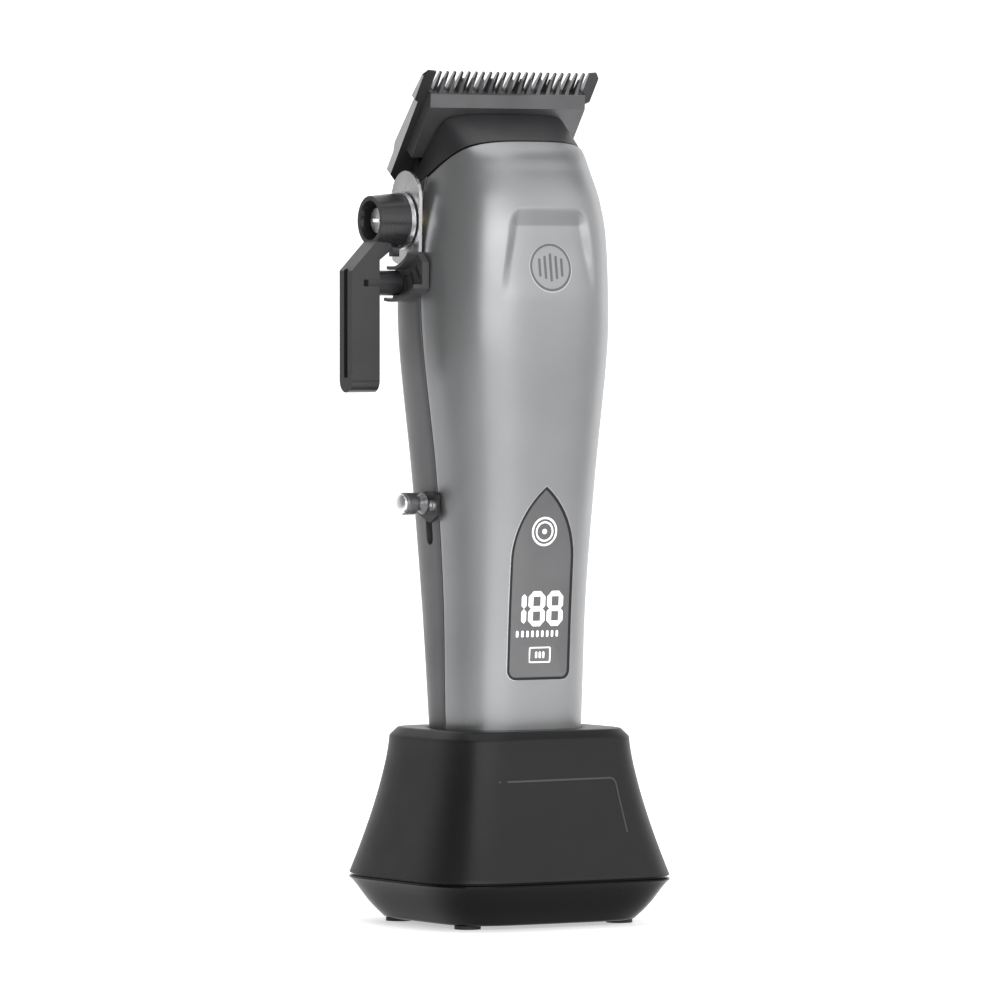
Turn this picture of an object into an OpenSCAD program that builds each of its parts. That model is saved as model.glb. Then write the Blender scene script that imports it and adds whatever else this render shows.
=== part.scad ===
// Cordless hair clipper standing in its charging stand.
// Millimetres. Origin: centre of the stand's underside. +Z is up, the display faces -Y,
// and the taper lever and power switch are on the -X side.

/* [Clipper body] */
// Widest width of the grip
body_width = 43.2; // [36:0.1:52]
// Depth from the seam datum to the fullest point of the cover
front_depth = 20.2; // [17:0.1:25]
// Depth from the seam datum to the fullest point of the housing
back_depth = 19.4; // [17:0.1:24]
// Length from the foot of the grip to the head parting line
body_length = 142.7; // [130:0.1:172]
// Wall of the cover and housing
wall = 2.2; // [1.6:0.1:3]
// Squareness of the cover's cross-section (2 is an ellipse)
front_power = 3; // [2.2:0.1:4]
// Squareness of the housing's cross-section
back_power = 3.6; // [2.2:0.1:4.5]
// Gap between cover and housing along the seam
seam_gap = 0.5; // [0.3:0.1:0.8]
// Height of the end cap's visible band
cap_height = 3; // [2:0.5:5]

/* [Display] */
// Width of the display lens
lens_width = 16.2; // [12:0.1:20]
// Height of the lens above the foot of the grip
lens_low = 25.8; // [20:0.1:32]
// Length of the lens's straight sides
lens_straight = 26.7; // [20:0.1:32]
// Height of the pointed arch over the straight sides
lens_arch = 16.8; // [12:0.1:20]
// Corner radius at the foot of the lens
lens_corner = 2; // [1:0.1:4]
// Gap round the lens
lens_gap = 0.15; // [0.1:0.05:0.3]
// Thickness of the lens
lens_wall = 1.6; // [1.2:0.1:1.8]

/* [Thumb recess] */
// Depth of the recess
recess_depth = 1.3; // [0.4:0.1:1.4]
// Half width at its top edge
recess_top = 10; // [7:0.1:12]
// Half width at its foot
recess_foot = 13; // [9:0.1:15]
// Length of the recess
recess_length = 20.1; // [14:0.1:26]

/* [Blades] */
// Width of the fixed blade
blade_width = 46.5; // [40:0.1:54]
// Length of the fixed blade
blade_length = 33; // [31:0.1:36]
// Width of the cutter
cutter_width = 41; // [35:0.1:44]
// Tooth pitch of the fixed blade
tooth_pitch = 1.9; // [1.6:0.1:2.4]
// Tooth length of the fixed blade
tooth_length = 5; // [4:0.1:6]
// Lean of the blades from vertical
blade_lean = 37; // [34:0.5:40]
// Side stroke of the cutter each way
cutter_stroke = 1.1; // [0.8:0.1:1.3]

/* [Taper lever] */
// Radius of the lever's crank pin from the pivot
crank_radius = 2.3; // [1.8:0.1:2.6]
// Swing of the lever
lever_swing = 34.5; // [23:11.5:34.5]
// Step between detents
detent_step = 11.5; // [10:0.5:13]
// Length of the lever from the pivot to its tip
lever_length = 39; // [32:0.1:46]
// Width of the lever bar, front to back
lever_width = 5.6; // [4.5:0.1:7]
// Thickness of the lever bar, side to side
lever_thick = 7.3; // [5:0.1:8]
// Radius of the lever's shaft
lever_shaft_r = 3; // [2.5:0.1:3.6]

/* [Power switch] */
// Travel of the power switch
switch_travel = 5; // [4:0.5:6]
// Radius of the switch knob
knob_r = 2.55; // [2:0.05:3]

/* [Stand] */
// Overall width of the stand at its seam
stand_width = 62.2; // [56:0.1:72]
// Overall depth of the stand at its seam
stand_depth = 58.2; // [54:0.1:68]
// Height of the stand's shoulder
stand_height = 42.5; // [38:0.1:50]
// Wall of the stand
stand_wall = 2.2; // [1.6:0.1:3]
// Height of the tray below the stand's seam
tray_height = 10.5; // [9:0.1:12]
// Gap between the grip and the well
well_gap = 0.7; // [0.5:0.1:1]
// Radius of a charging pin
pin_r = 0.8; // [0.6:0.05:1]
// Running clearance on shafts and pins
run_fit = 0.05; // [0.03:0.01:0.08]

/* [Hidden] */
$fn = 48;
eps = 0.01;

// ---- where the clipper stands ----
body_base = 30;
clipper_y = 1.7;
head_z = body_base + body_length;
parting_fall = 0.57;
parting_gap = 0.3;
shell_base = body_base + cap_height;

// Grip outline: share of length, half width, front depth, back depth, and the seam's drift (mm)
PROFILE = [
    [0.000, 0.708, 0.649, 0.613, 0.0], [0.119, 0.745, 0.693, 0.649, 0.0],
    [0.308, 0.769, 0.772, 0.820, 0.0], [0.505, 0.852, 0.891, 0.933, 0.1],
    [0.694, 0.981, 0.985, 0.990, 0.9], [0.771, 1.000, 1.000, 1.000, 1.5],
    [0.883, 0.977, 0.990, 0.979, 2.4], [0.943, 0.926, 0.916, 0.918, 3.0],
    [0.984, 0.861, 0.802, 0.856, 3.4], [1.023, 0.810, 0.629, 0.763, 3.6],
    [1.079, 0.745, 0.020, 0.580, 3.8]];

// Smooth curve through column k of a table whose first column rises
function span_at(v, z, i = 0) = i >= len(v) - 2 || z < v[i + 1][0] ? i : span_at(v, z, i + 1);
function lean_at(v, k, i) =
    let(a = max(i - 1, 0), b = min(i + 1, len(v) - 1)) (v[b][k] - v[a][k]) / (v[b][0] - v[a][0]);
function along(v, k, z) =
    let(i = span_at(v, z), h = v[i + 1][0] - v[i][0], t = (z - v[i][0]) / h, t2 = t * t, t3 = t2 * t)
    (2 * t3 - 3 * t2 + 1) * v[i][k] + (t3 - 2 * t2 + t) * h * lean_at(v, k, i)
    + (3 * t2 - 2 * t3) * v[i + 1][k] + (t3 - t2) * h * lean_at(v, k, i + 1);
function share(z) = (z - body_base) / body_length;
function half_w(z) = body_width / 2 * along(PROFILE, 1, share(z));
function seam_y(z) = clipper_y + along(PROFILE, 4, share(z));
function front_y(z) = clipper_y - front_depth * along(PROFILE, 2, share(z));
function back_y(z) = clipper_y + back_depth * along(PROFILE, 3, share(z));
function clamp01(x) = min(max(x, 0), 1);
function ease(x) = let(t = clamp01(x)) t * t * (3 - 2 * t);
function signed_pow(x, p) = sign(x) * pow(abs(x), p);

// Depth of the thumb recess at a point of the cover
recess_high = head_z - 10.1;
recess_bevel = 4.3;
recess_side_bevel = 2.5;
recess_fade = 10;
function recess_at(x, z) =
    let(down = (recess_high - z) / recess_length,
        half = recess_top + (recess_foot - recess_top) * down)
    down < 0 || down > 1 ? 0 : recess_depth
    * min(clamp01((half - abs(x)) / recess_side_bevel), clamp01((recess_high - z) / recess_bevel))
    * ease((recess_length - (recess_high - z)) / recess_fade);

// A point of the grip's skin at angle a and height z, moved in by inset
function skin_x(a, z, inset) =
    (half_w(z) - inset) * signed_pow(cos(a), 2 / (sin(a) < 0 ? front_power : back_power));
function skin_y(a, z, inset) = sin(a) < 0
    ? seam_y(z) - (seam_y(z) - front_y(z) - inset) * pow(-sin(a), 2 / front_power)
    : seam_y(z) + (back_y(z) - seam_y(z) - inset) * pow(sin(a), 2 / back_power);
// Height where the line at share t, between a flat floor and the sloping parting plane, meets the skin
function parting_at(y, lift) = head_z + lift - parting_fall * y;
function settle(a, t, inset, low, lift, z, n = 10) = n == 0 ? z
    : settle(a, t, inset, low, lift, low + t * (parting_at(skin_y(a, z, inset), lift) - low), n - 1);
function skin_point(a, t, inset, low, lift, shift) =
    let(z = settle(a, t, inset, low, lift, low + t * (head_z - low)),
        x = skin_x(a, z, inset), y = skin_y(a, z, inset),
        cut = sin(a) < -0.2 && inset < 0.5 ? recess_at(x, z) : 0)
    [x, y + shift + cut, z];

// Solid through a list of closed rings, each counter-clockwise seen from above
module loft(rings, looped = false) {
    n = len(rings[0]);
    last = len(rings) - 1;
    points = [for (r = rings) for (p = r) p];
    walls = [for (i = [0:looped ? last : last - 1]) for (j = [0:n - 1])
        let(k = (i + 1) % len(rings), m = (j + 1) % n,
            a = i * n + j, b = i * n + m, c = k * n + m, d = k * n + j)
        each [[a, d, c], [a, c, b]]];
    ends = looped ? [] : [[for (j = [0:n - 1]) j], [for (j = [n - 1:-1:0]) last * n + j]];
    polyhedron(points, concat(walls, ends), convexity = 8);
}

// ---- grip shells ----
skin_steps = 22;
low_rings = 9;
high_rings = 15;
ring_break = 0.72;
RING_SHARES = concat([for (i = [0:low_rings - 1]) ring_break * i / low_rings],
    [for (i = [0:high_rings]) ring_break + (1 - ring_break) * i / high_rings]);
module half_shell(from, to, shift, low = shell_base, lift = -parting_gap / 2) {
    loft([for (t = RING_SHARES) concat(
        [for (i = [0:skin_steps])
            skin_point(from + (to - from) * i / skin_steps, t, 0, low, lift, shift)],
        [for (i = [skin_steps:-1:0])
            skin_point(from + (to - from) * i / skin_steps, t, wall, low, lift, shift)])]);
}

lens_base = body_base + lens_low;
lens_shoulder = lens_base + lens_straight;
lens_top = lens_shoulder + lens_arch;
// Outline of the lens, grown by g, in X and Z
function lens_outline(g) =
    let(h = lens_width / 2, r = (lens_arch * lens_arch + h * h) / (2 * h), cx = r - h, n = 8,
        reach = sqrt((r + g) * (r + g) - cx * cx), apex = atan2(reach, cx), k = lens_corner)
    concat(
        [for (i = [0:4]) [h - k + (k + g) * sin(i * 22.5), lens_base + k - (k + g) * cos(i * 22.5)]],
        [for (i = [0:n]) [(r + g) * cos(apex * i / n) - cx, lens_shoulder + (r + g) * sin(apex * i / n)]],
        [for (i = [n - 1:-1:0])
            [cx - (r + g) * cos(apex * i / n), lens_shoulder + (r + g) * sin(apex * i / n)]],
        [for (i = [0:4]) [k - h - (k + g) * cos(i * 22.5), lens_base + k - (k + g) * sin(i * 22.5)]]);
module along_y(from, to) {
    translate([0, to, 0]) rotate([90, 0, 0]) linear_extrude(to - from) children();
}
module rod_x(x0, x1, y, z, r) {
    translate([min(x0, x1), y, z]) rotate([0, 90, 0]) cylinder(h = abs(x1 - x0), r = r);
}
module block(x0, x1, y0, y1, z0, z1) {
    translate([x0, y0, z0]) cube([x1 - x0, y1 - y0, z1 - z0]);
}

module top_cover() {
    color("#959698") difference() {
        half_shell(180, 360, -seam_gap / 2);
        along_y(front_y(lens_top) - 8, front_y(lens_top) + 8) polygon(lens_outline(lens_gap));
    }
}

module display_lens() {
    color("#66686a") intersection() {
        lens_skin();
        along_y(front_y(lens_top) - 8, front_y(lens_top) + 8) polygon(lens_outline(0));
    }
}
// Curved sheet just under the cover's skin, a little larger than the lens
lens_sink = 0.2;
module lens_skin() {
    from = 238;
    to = 302;
    steps = 8;
    rows = 10;
    lows = lens_base - 3;
    highs = lens_top + 3;
    loft([for (j = [0:rows]) let(z = lows + (highs - lows) * j / rows) concat(
        [for (i = [0:steps]) let(a = from + (to - from) * i / steps)
            [skin_x(a, z, lens_sink), skin_y(a, z, lens_sink) - seam_gap / 2, z]],
        [for (i = [steps:-1:0]) let(a = from + (to - from) * i / steps, s = lens_sink + lens_wall)
            [skin_x(a, z, s), skin_y(a, z, s) - seam_gap / 2, z]])]);
}

module lower_housing() {
    color("#5c5d60") difference() {
        union() {
            half_shell(0, 180, seam_gap / 2);
            // pads that carry the lever plate and the detent plate
            at_pivot() along_x(pad_x, side_x + 1.2) translate([-3.2, -9]) square([7.6, 16]);
            intersection() {
                at_pivot() along_x(pad_x, side_x + 1.2)
                    polygon(sector(detent_low_r, detent_high_r, detent_from, detent_to));
                block(-body_width, 0, seam_y(lever_z) + 0.8, lever_y + 9, lever_z - 20, lever_z);
            }
        }
        // lever shaft bush
        rod_x(-body_width, 0, lever_y, lever_z, bush_r + bore_fit);
        // slot of the power switch
        block(-body_width, 0, switch_y - slot_half, switch_y + slot_half, slot_low, slot_high);
    }
}

// Seal along each seam, held between the two shells
gasket_in = 0.7;
gasket_out = 1.7;
module seam_gasket() {
    color("#1d1d1f") difference() {
        for (side = [0, 180]) seam_strip(side);
        rod_x(-body_width, 0, lever_y, lever_z, bush_r + bore_fit);
    }
}
module seam_strip(side) {
    loft([for (t = RING_SHARES)
        let(g = seam_gap / 2,
            near = skin_point(side, t, gasket_out, shell_base, -parting_gap / 2, 0),
            far = skin_point(side, t, gasket_in, shell_base, -parting_gap / 2, 0))
        side == 0
            ? [[near[0], near[1] - g, near[2]], [far[0], far[1] - g, far[2]],
               [far[0], far[1] + g, far[2]], [near[0], near[1] + g, near[2]]]
            : [[far[0], far[1] - g, far[2]], [near[0], near[1] - g, near[2]],
               [near[0], near[1] + g, near[2]], [far[0], far[1] + g, far[2]]]]);
}

// ---- foot of the grip ----
contact_x = 5;
contact_r = 2.2;
contact_hole_r = 1.6;
contact_sink = 0.8;
contact_thick = 1.2;
cap_screw_x = 10;
cap_screw_r = 1.2;
cap_head_r = 2.1;
cap_plug = 3.5;
plug_fit = 0.05;
chassis_base = shell_base + cap_plug;
bulkhead = 3;
function grip_ring(grow, z, n = 48) = [for (i = [0:n - 1]) let(a = 360 * i / n, s = max(z, body_base))
    [skin_x(a, s, -grow), skin_y(a, s, -grow), z]];
module pair(x, y, z) {
    for (s = [-1, 1]) translate([s * x, y, z]) children();
}

module end_cap() {
    color("#2a2a2c") difference() {
        loft([grip_ring(0, body_base), grip_ring(0, shell_base), grip_ring(-wall - plug_fit, shell_base),
            grip_ring(-wall - plug_fit, chassis_base)]);
        pair(contact_x, clipper_y, body_base - 1) cylinder(h = 1 + contact_sink + eps, r = contact_hole_r);
        pair(contact_x, clipper_y, body_base + contact_sink) cylinder(h = contact_thick, r = contact_r);
        pair(cap_screw_x, clipper_y, body_base - 1) cylinder(h = 2.6, r = cap_head_r + 0.1);
        pair(cap_screw_x, clipper_y, body_base - 1) cylinder(h = 9, r = cap_screw_r);
    }
}
module charge_contacts() {
    color("#c9a24a") pair(contact_x, clipper_y, body_base + contact_sink)
        cylinder(h = contact_thick, r = contact_r);
}
module cap_screws() {
    color("#b8b8b8") pair(cap_screw_x, clipper_y, body_base + 0.3) {
        cylinder(h = 1.3, r = cap_head_r);
        cylinder(h = 8.2, r = cap_screw_r);
    }
}

// ---- inside the grip ----
rail = 2.2;
panel_y = front_y(lens_base) + wall + 0.5;
panel_thick = 1.2;
board_thick = 1.4;
cell_front = panel_y + panel_thick + board_thick + 0.4;
cell_back = back_y(chassis_base + 5) - wall - 0.7;
cell_r = min((cell_back - cell_front) / 2, half_w(chassis_base) - wall - rail - 0.8);
cell_y = (cell_back + cell_front) / 2;
motor_y = 3;
motor_r = 11;
mount_half = motor_r + 2.5;
mount_screw_x = motor_r + 1.4;
mount_screw_r = 0.8;
motor_top = head_z - 30.7;
motor_base = motor_top - 30.5;
rail_in = cell_r + 0.3;
rail_y0 = 0;
rail_y1 = 4;
shaft_r = 1.5;
bearing_r = 3.5;
magnet = 2;

module display_panel() {
    color("#202428") block(-6.8, 6.8, panel_y, panel_y + panel_thick, lens_base + 2, lens_top - 2);
}
module display_board() {
    color("#2f5a3a") block(-9, 9, panel_y + panel_thick, panel_y + panel_thick + board_thick,
        lens_base - 1, lens_top + 4);
}
module battery() {
    color("#3a6ea5") translate([0, cell_y, chassis_base + bulkhead + 0.5])
        cylinder(h = motor_base - bulkhead - 1 - (chassis_base + bulkhead), r = cell_r);
}
module main_board() {
    color("#2f5a3a") block(-9, 9, cell_back + 0.8, cell_back + 0.8 + board_thick,
        body_base + 46, motor_base - bulkhead - 2);
}
module chassis() {
    color("#454548") difference() {
        union() {
            block(-rail_in - rail, rail_in + rail, -6, 9, chassis_base, chassis_base + bulkhead);
            block(-mount_half, mount_half, -8, 12, motor_base - bulkhead, motor_base);
            for (s = [-1, 1]) {
                translate([s * (rail_in + rail / 2), (rail_y0 + rail_y1) / 2, (chassis_base + motor_base) / 2])
                    cube([rail, rail_y1 - rail_y0, motor_base - chassis_base - eps], center = true);
                translate([s * mount_screw_x, motor_y, (motor_base + motor_top) / 2 - eps])
                    cube([2.2, 4, motor_top - motor_base + 2 * eps], center = true);
            }
        }
        pair(cap_screw_x, clipper_y, chassis_base - 1) cylinder(h = 4, r = cap_screw_r);
        pair(mount_screw_x, motor_y, motor_top - 4) cylinder(h = 5, r = mount_screw_r);
    }
}
module motor_can() {
    color("#9a9da1") translate([0, motor_y, motor_base]) difference() {
        cylinder(h = motor_top - motor_base, r = motor_r);
        translate([0, 0, 1]) cylinder(h = motor_top - motor_base - 2, r = motor_r - 1);
        cylinder(h = motor_top - motor_base + 1, r = bearing_r);
    }
}
module motor_magnets() {
    color("#4a4a4e") translate([0, motor_y, motor_base + 3]) difference() {
        cylinder(h = 24, r = motor_r - 1);
        translate([0, 0, -1]) cylinder(h = 26, r = motor_r - 1 - magnet);
    }
}
module motor_bearing() {
    color("#b08d57") for (z = [motor_base, motor_top - 1]) translate([0, motor_y, z]) difference() {
        cylinder(h = z < motor_base + 1 ? 2 : 4, r = bearing_r);
        translate([0, 0, -1]) cylinder(h = 6, r = shaft_r + run_fit);
    }
}
module motor_mount() {
    color("#454548") difference() {
        block(-mount_half, mount_half, -10, 14, motor_top, motor_top + 3);
        translate([0, motor_y, motor_top - 1]) cylinder(h = 5, r = bearing_r);
        pair(mount_screw_x, motor_y, motor_top - 1) cylinder(h = 5, r = mount_screw_r);
    }
    color("#b8b8b8") pair(mount_screw_x, motor_y, motor_top - 3.5) {
        cylinder(h = 6.5, r = mount_screw_r);
        translate([0, 0, 6.5]) cylinder(h = 1.2, r = 2 * mount_screw_r);
    }
}
module rotor_core() {
    color("#8a4f2a") translate([0, motor_y, motor_base + 4]) difference() {
        cylinder(h = 22, r = motor_r - 1.5 - magnet);
        translate([0, 0, -1]) cylinder(h = 24, r = shaft_r);
    }
}
cam_base = motor_top + 10;
cam_high = 3;
cam_r = 6;
cam_pin_r = 1.25;
module motor_shaft() {
    color("#c8c8ca") translate([0, motor_y, motor_base + 0.2])
        cylinder(h = cam_base + cam_high - motor_base - 0.2, r = shaft_r);
}
module drive_cam() {
    color("#d8d8d0") translate([0, motor_y, cam_base]) {
        difference() {
            cylinder(h = cam_high, r = cam_r);
            translate([0, 0, -1]) cylinder(h = cam_high + 2, r = shaft_r);
        }
        translate([0, cutter_stroke, cam_high - eps]) cylinder(h = 6, r = cam_pin_r);
        translate([0, 0, cam_high - eps]) cylinder(h = 1, r = 3);
    }
}

// ---- head ----
tip_y = -2;
collar_wall = 3.2;
bed_inset = 0.55;
tip_z = head_z + 20.7;
bed_u = 25.4;
bed_end = 32.5;
bed_half = half_w(head_z - 3) - collar_wall - bed_inset;
cutter_clear = 3.2;
cutter_thick = 3;
step_u = 24.2;
blade_screw_x = bed_half - 4;
blade_screw_u = 28.5;
blade_screw_r = 1.5;
// Blade frame: X across, Y from the tooth tips down the blade, Z out of the fixed blade's back
module in_blade() {
    translate([0, tip_y, tip_z]) rotate([blade_lean - 90, 0, 0]) children();
}
// Height over y of the plane that lies w above the blade's inner face
function blade_plane(y, w) = tip_z + (w - (y - tip_y) * cos(blade_lean)) / sin(blade_lean);
function collar_end(y) = -2.2 * (1 - ease((y - 6) / 4));
function collar_gap(a, t, inset, lift, z) = let(y = skin_y(a, z, inset), low = parting_at(y, lift))
    z - low - t * (blade_plane(y, collar_end(y)) - low);
function collar_z(a, t, inset, lift, z0, z1, n = 20) = let(m = (z0 + z1) / 2) n == 0 ? m
    : collar_gap(a, t, inset, lift, m) > 0 ? collar_z(a, t, inset, lift, z0, m, n - 1)
    : collar_z(a, t, inset, lift, m, z1, n - 1);
function collar_ring(t, inset, lift, n = 44) = [for (i = [0:n - 1]) let(a = 360 * i / n,
    z = collar_z(a, t, inset, lift, head_z - 16, head_z + 12.4))
    [skin_x(a, z, inset), skin_y(a, z, inset), z]];
module head_collar() {
    lip = wall + plug_fit;
    color("#303033") difference() {
        union() {
            loft(concat([for (t = [0, 0.2, 0.4, 0.6, 0.8, 1]) collar_ring(t, 0, parting_gap / 2)],
                [for (t = [1, 0.66, 0.33, 0]) collar_ring(t, collar_wall, -2)],
                [collar_ring(0, lip, -2), collar_ring(0, lip, parting_gap / 2)]), looped = true);
            in_blade() block(-bed_half, bed_half, bed_u, bed_end, -3, 0);
        }
        in_blade() block(-blade_width, blade_width, -10, step_u, -cutter_clear, 20);
        in_blade() pair(blade_screw_x, blade_screw_u, -4) cylinder(h = 5, r = blade_screw_r);
    }
}

corner_tooth = 3;
tooth_root = tooth_length + 0.2;
tooth_half = 0.52;
tooth_tip_half = 0.24;
module along_x(from, to) {
    translate([from, 0, 0]) rotate([90, 0, 90]) linear_extrude(to - from) children();
}
module teeth(width, pitch, tip, root) {
    count = floor(width / pitch);
    for (i = [0:count - 1]) let(x = (i - (count - 1) / 2) * pitch)
        polygon([[x - tooth_half, root], [x - tooth_tip_half, tip], [x + tooth_tip_half, tip],
            [x + tooth_half, root]]);
}
module fixed_blade() {
    h = blade_width / 2;
    color("#3a3a3c") in_blade() difference() {
        intersection() {
            translate([0, 0, -1]) linear_extrude(6) {
                teeth(blade_width - 2 * corner_tooth, tooth_pitch, 0.3, tooth_root + 0.1);
                polygon([[-h, 1.4], [1 - h, 0], [corner_tooth - h, 0.2], [corner_tooth - h, tooth_root],
                    [h - corner_tooth, tooth_root], [h - corner_tooth, 0.2], [h - 1, 0], [h, 1.4], [h, 8],
                    [h - 1, 8.6], [h - 1, blade_length - 4], [h - 5, blade_length],
                    [5 - h, blade_length], [1 - h, blade_length - 4], [1 - h, 8.6], [-h, 8]]);
            }
            along_x(-h - 1, h + 1) polygon([[0, 0], [0, 0.5], [9, 1.8], [22, 2.9], [24, 2.1],
                [blade_length, 2.1], [blade_length, 0]]);
        }
        pair(blade_screw_x, blade_screw_u, -1) cylinder(h = 5, r = blade_screw_r + 0.1);
    }
}
module blade_screws() {
    color("#b8b8b8") in_blade() pair(blade_screw_x, blade_screw_u, -3) {
        cylinder(h = 5.2, r = blade_screw_r);
        translate([0, 0, 5.1]) difference() {
            cylinder(h = 1.5, r = 2.6);
            for (a = [0, 90]) rotate(a) block(-1.6, 1.6, -0.35, 0.35, 0.7, 2);
        }
    }
}
face_gap = 0.05;
cutter_length = 22;
module moving_blade() {
    h = cutter_width / 2;
    color("#4c4c4f") in_blade() intersection() {
        translate([0, 0, -4]) linear_extrude(5) {
            teeth(cutter_width, tooth_pitch * 1.35, 1.7, tooth_root + 0.1);
            polygon([[-h, tooth_root], [h, tooth_root], [h, cutter_length], [-h, cutter_length]]);
        }
        along_x(-h - 1, h + 1) polygon([[1.7, -face_gap], [cutter_length, -face_gap],
            [cutter_length, -cutter_thick], [8, -cutter_thick], [5.5, -1.3], [1.7, -0.8]]);
    }
}

// ---- taper lever and its carriage ----
lever_y = 9.1;
lever_z = head_z - 13;
side_x = -half_w(lever_z);
pad_x = -body_width / 2 - 0.2;
plate_thick = 0.8;
plate_mid = -1;
plate_half = 6.3;
bore_fit = 0.04;
bush_r = lever_shaft_r + 1.2;
washer_x = pad_x - plate_thick - 0.4;
washer_thick = 1.05;
boss_x = washer_x - washer_thick;
boss_length = 7.3;
boss_out_r = 5.55;
boss_in_r = 6.3;
rim_x = boss_x - boss_length;
bar_x = rim_x - 6.3;
shaft_end = side_x + 4.5;
disc_end = shaft_end + 1.6;
crank_end = disc_end + 4.2;
crank_r = 1.1;
crank_fit = 0.15;
travel = crank_radius * lever_swing * PI / 180;
detent_r = 14.2;
detent_low_r = 10.5;
detent_high_r = 18.5;
detent_from = -137;
detent_to = -80;
rail_thick = 0.75;
detent_face = boss_x + 0.5;
detent_reach = 10.2;
pin_x = boss_x - 0.15;
pin_body_r = 2.85;

// Sector between two radii and two angles
function sector(r0, r1, a0, a1, n = 10) = concat(
    [for (i = [0:n]) let(a = a0 + (a1 - a0) * i / n) [r1 * cos(a), r1 * sin(a)]],
    [for (i = [n:-1:0]) let(a = a0 + (a1 - a0) * i / n) [r0 * cos(a), r0 * sin(a)]]);
module at_pivot() {
    translate([0, lever_y, lever_z]) children();
}

module lever_plate() {
    color("#c4c4c6") difference() {
        // round top, straight sides and a foot that follows the detent plate
        at_pivot() along_x(pad_x - plate_thick, pad_x) polygon(concat(
            [for (a = [-133:6:-61]) [10.2 * cos(a), 10.2 * sin(a)]],
            [for (a = [0:15:180]) [plate_mid + plate_half * cos(a), 5 + plate_half * sin(a)]]));
        rod_x(pad_x - 2, pad_x + 1, lever_y, lever_z, bush_r + bore_fit);
    }
}
module lever_bush() {
    color("#b08d57") difference() {
        rod_x(pad_x - plate_thick, shaft_end - 0.2, lever_y, lever_z, bush_r);
        rod_x(pad_x - 3, shaft_end + 1, lever_y, lever_z, lever_shaft_r + run_fit);
    }
}
// Crank angle, measured from +Y towards +Z, when the lever hangs straight down
crank_angle = 90 - (90 - blade_lean) + lever_swing / 2;
module lever_cam() {
    color("#8f9194") {
        difference() {
            rod_x(boss_x - 1.6, shaft_end + eps, lever_y, lever_z, lever_shaft_r);
            rod_x(boss_x - 3, boss_x + 8, lever_y, lever_z, 1.5);
        }
        rod_x(shaft_end, disc_end, lever_y, lever_z, 4.2);
        rod_x(disc_end - eps, crank_end, lever_y + crank_radius * cos(crank_angle),
            lever_z + crank_radius * sin(crank_angle), crank_r);
    }
}
module detent_plate() {
    color("#4a4a4c") at_pivot() difference() {
        intersection() {
            union() {
                along_x(detent_face, pad_x)
                    polygon(sector(detent_low_r, detent_high_r, detent_from, detent_to));
                along_x(detent_face - 2.3, detent_face + 0.1) {
                    polygon(sector(detent_low_r, detent_low_r + rail_thick, detent_from, detent_to));
                    polygon(sector(detent_high_r - rail_thick, detent_high_r, detent_from, detent_to));
                }
            }
            block(detent_face - 5, pad_x + 1, -detent_reach, 9, -20, 0);
        }
        for (k = [0:3]) rotate([-k * detent_step, 0, 0])
            block(detent_face - 1, detent_face + 1, -0.55, 0.55, -detent_r - 1.9, -detent_r + 1.5);
    }
}
module taper_lever() {
    half = lever_width / 2;
    color("#2b2b2d") difference() {
        union() {
            translate([rim_x, lever_y, lever_z]) rotate([0, 90, 0])
                cylinder(h = boss_length, r1 = boss_out_r, r2 = boss_in_r);
            translate([0, lever_y + half, lever_z]) rotate([90, 0, 0]) linear_extrude(lever_width)
                polygon([[bar_x, half - lever_length], [bar_x, -11.4], [rim_x, -4.9], [rim_x, -2],
                    [rim_x + 4.3, -2], [rim_x + 3.8, -6.9], [bar_x + lever_thick, -9],
                    [bar_x + lever_thick, half - lever_length]]);
            rod_x(bar_x, bar_x + lever_thick, lever_y, lever_z - lever_length + half, half);
            // stop nub under the boss
            at_pivot() along_x(boss_x - 1.8, boss_x) translate([-0.8, -8.2]) square([1.6, 3.4]);
        }
        // cup, screw hole and shaft socket
        rod_x(rim_x - 1, boss_x - 3.4, lever_y, lever_z, 4.5);
        rod_x(rim_x, boss_x + 1, lever_y, lever_z, 1.6);
        rod_x(boss_x - 1.6, boss_x + 1, lever_y, lever_z, lever_shaft_r);
        // finger groove down the outer face
        block(bar_x - 1, bar_x + 1, lever_y - 0.8, lever_y + 0.8, lever_z - lever_length + 3.4, lever_z - 11);
        // bore of the detent pin
        rod_x(bar_x + lever_thick - 4.2, boss_x, lever_y, lever_z - detent_r, pin_body_r + run_fit);
    }
}
module lever_screw() {
    color("#c8c8ca") difference() {
        union() {
            rod_x(boss_x - 5.4, boss_x - 3.4, lever_y, lever_z, 2.85);
            rod_x(boss_x - 3.5, boss_x + 7, lever_y, lever_z, 1.5);
        }
        translate([boss_x - 5, lever_y, lever_z]) for (a = [0, 90]) rotate([a, 0, 0])
            block(-1, 0.4, -1.9, 1.9, -0.4, 0.4);
    }
}
module lever_washer() {
    color("#d0d0d2") difference() {
        rod_x(boss_x, washer_x, lever_y, lever_z, boss_in_r + 0.3);
        rod_x(boss_x - 1, washer_x + 1, lever_y, lever_z, lever_shaft_r);
    }
}
// Sprung pin that clicks over the detents; its nose stays just clear of the plate
module detent_pin() {
    color("#1e1e20") {
        rod_x(bar_x + lever_thick - 3, pin_x, lever_y, lever_z - detent_r, pin_body_r);
        rod_x(pin_x - eps, detent_face - 0.15, lever_y, lever_z - detent_r, 0.9);
    }
}

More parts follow.
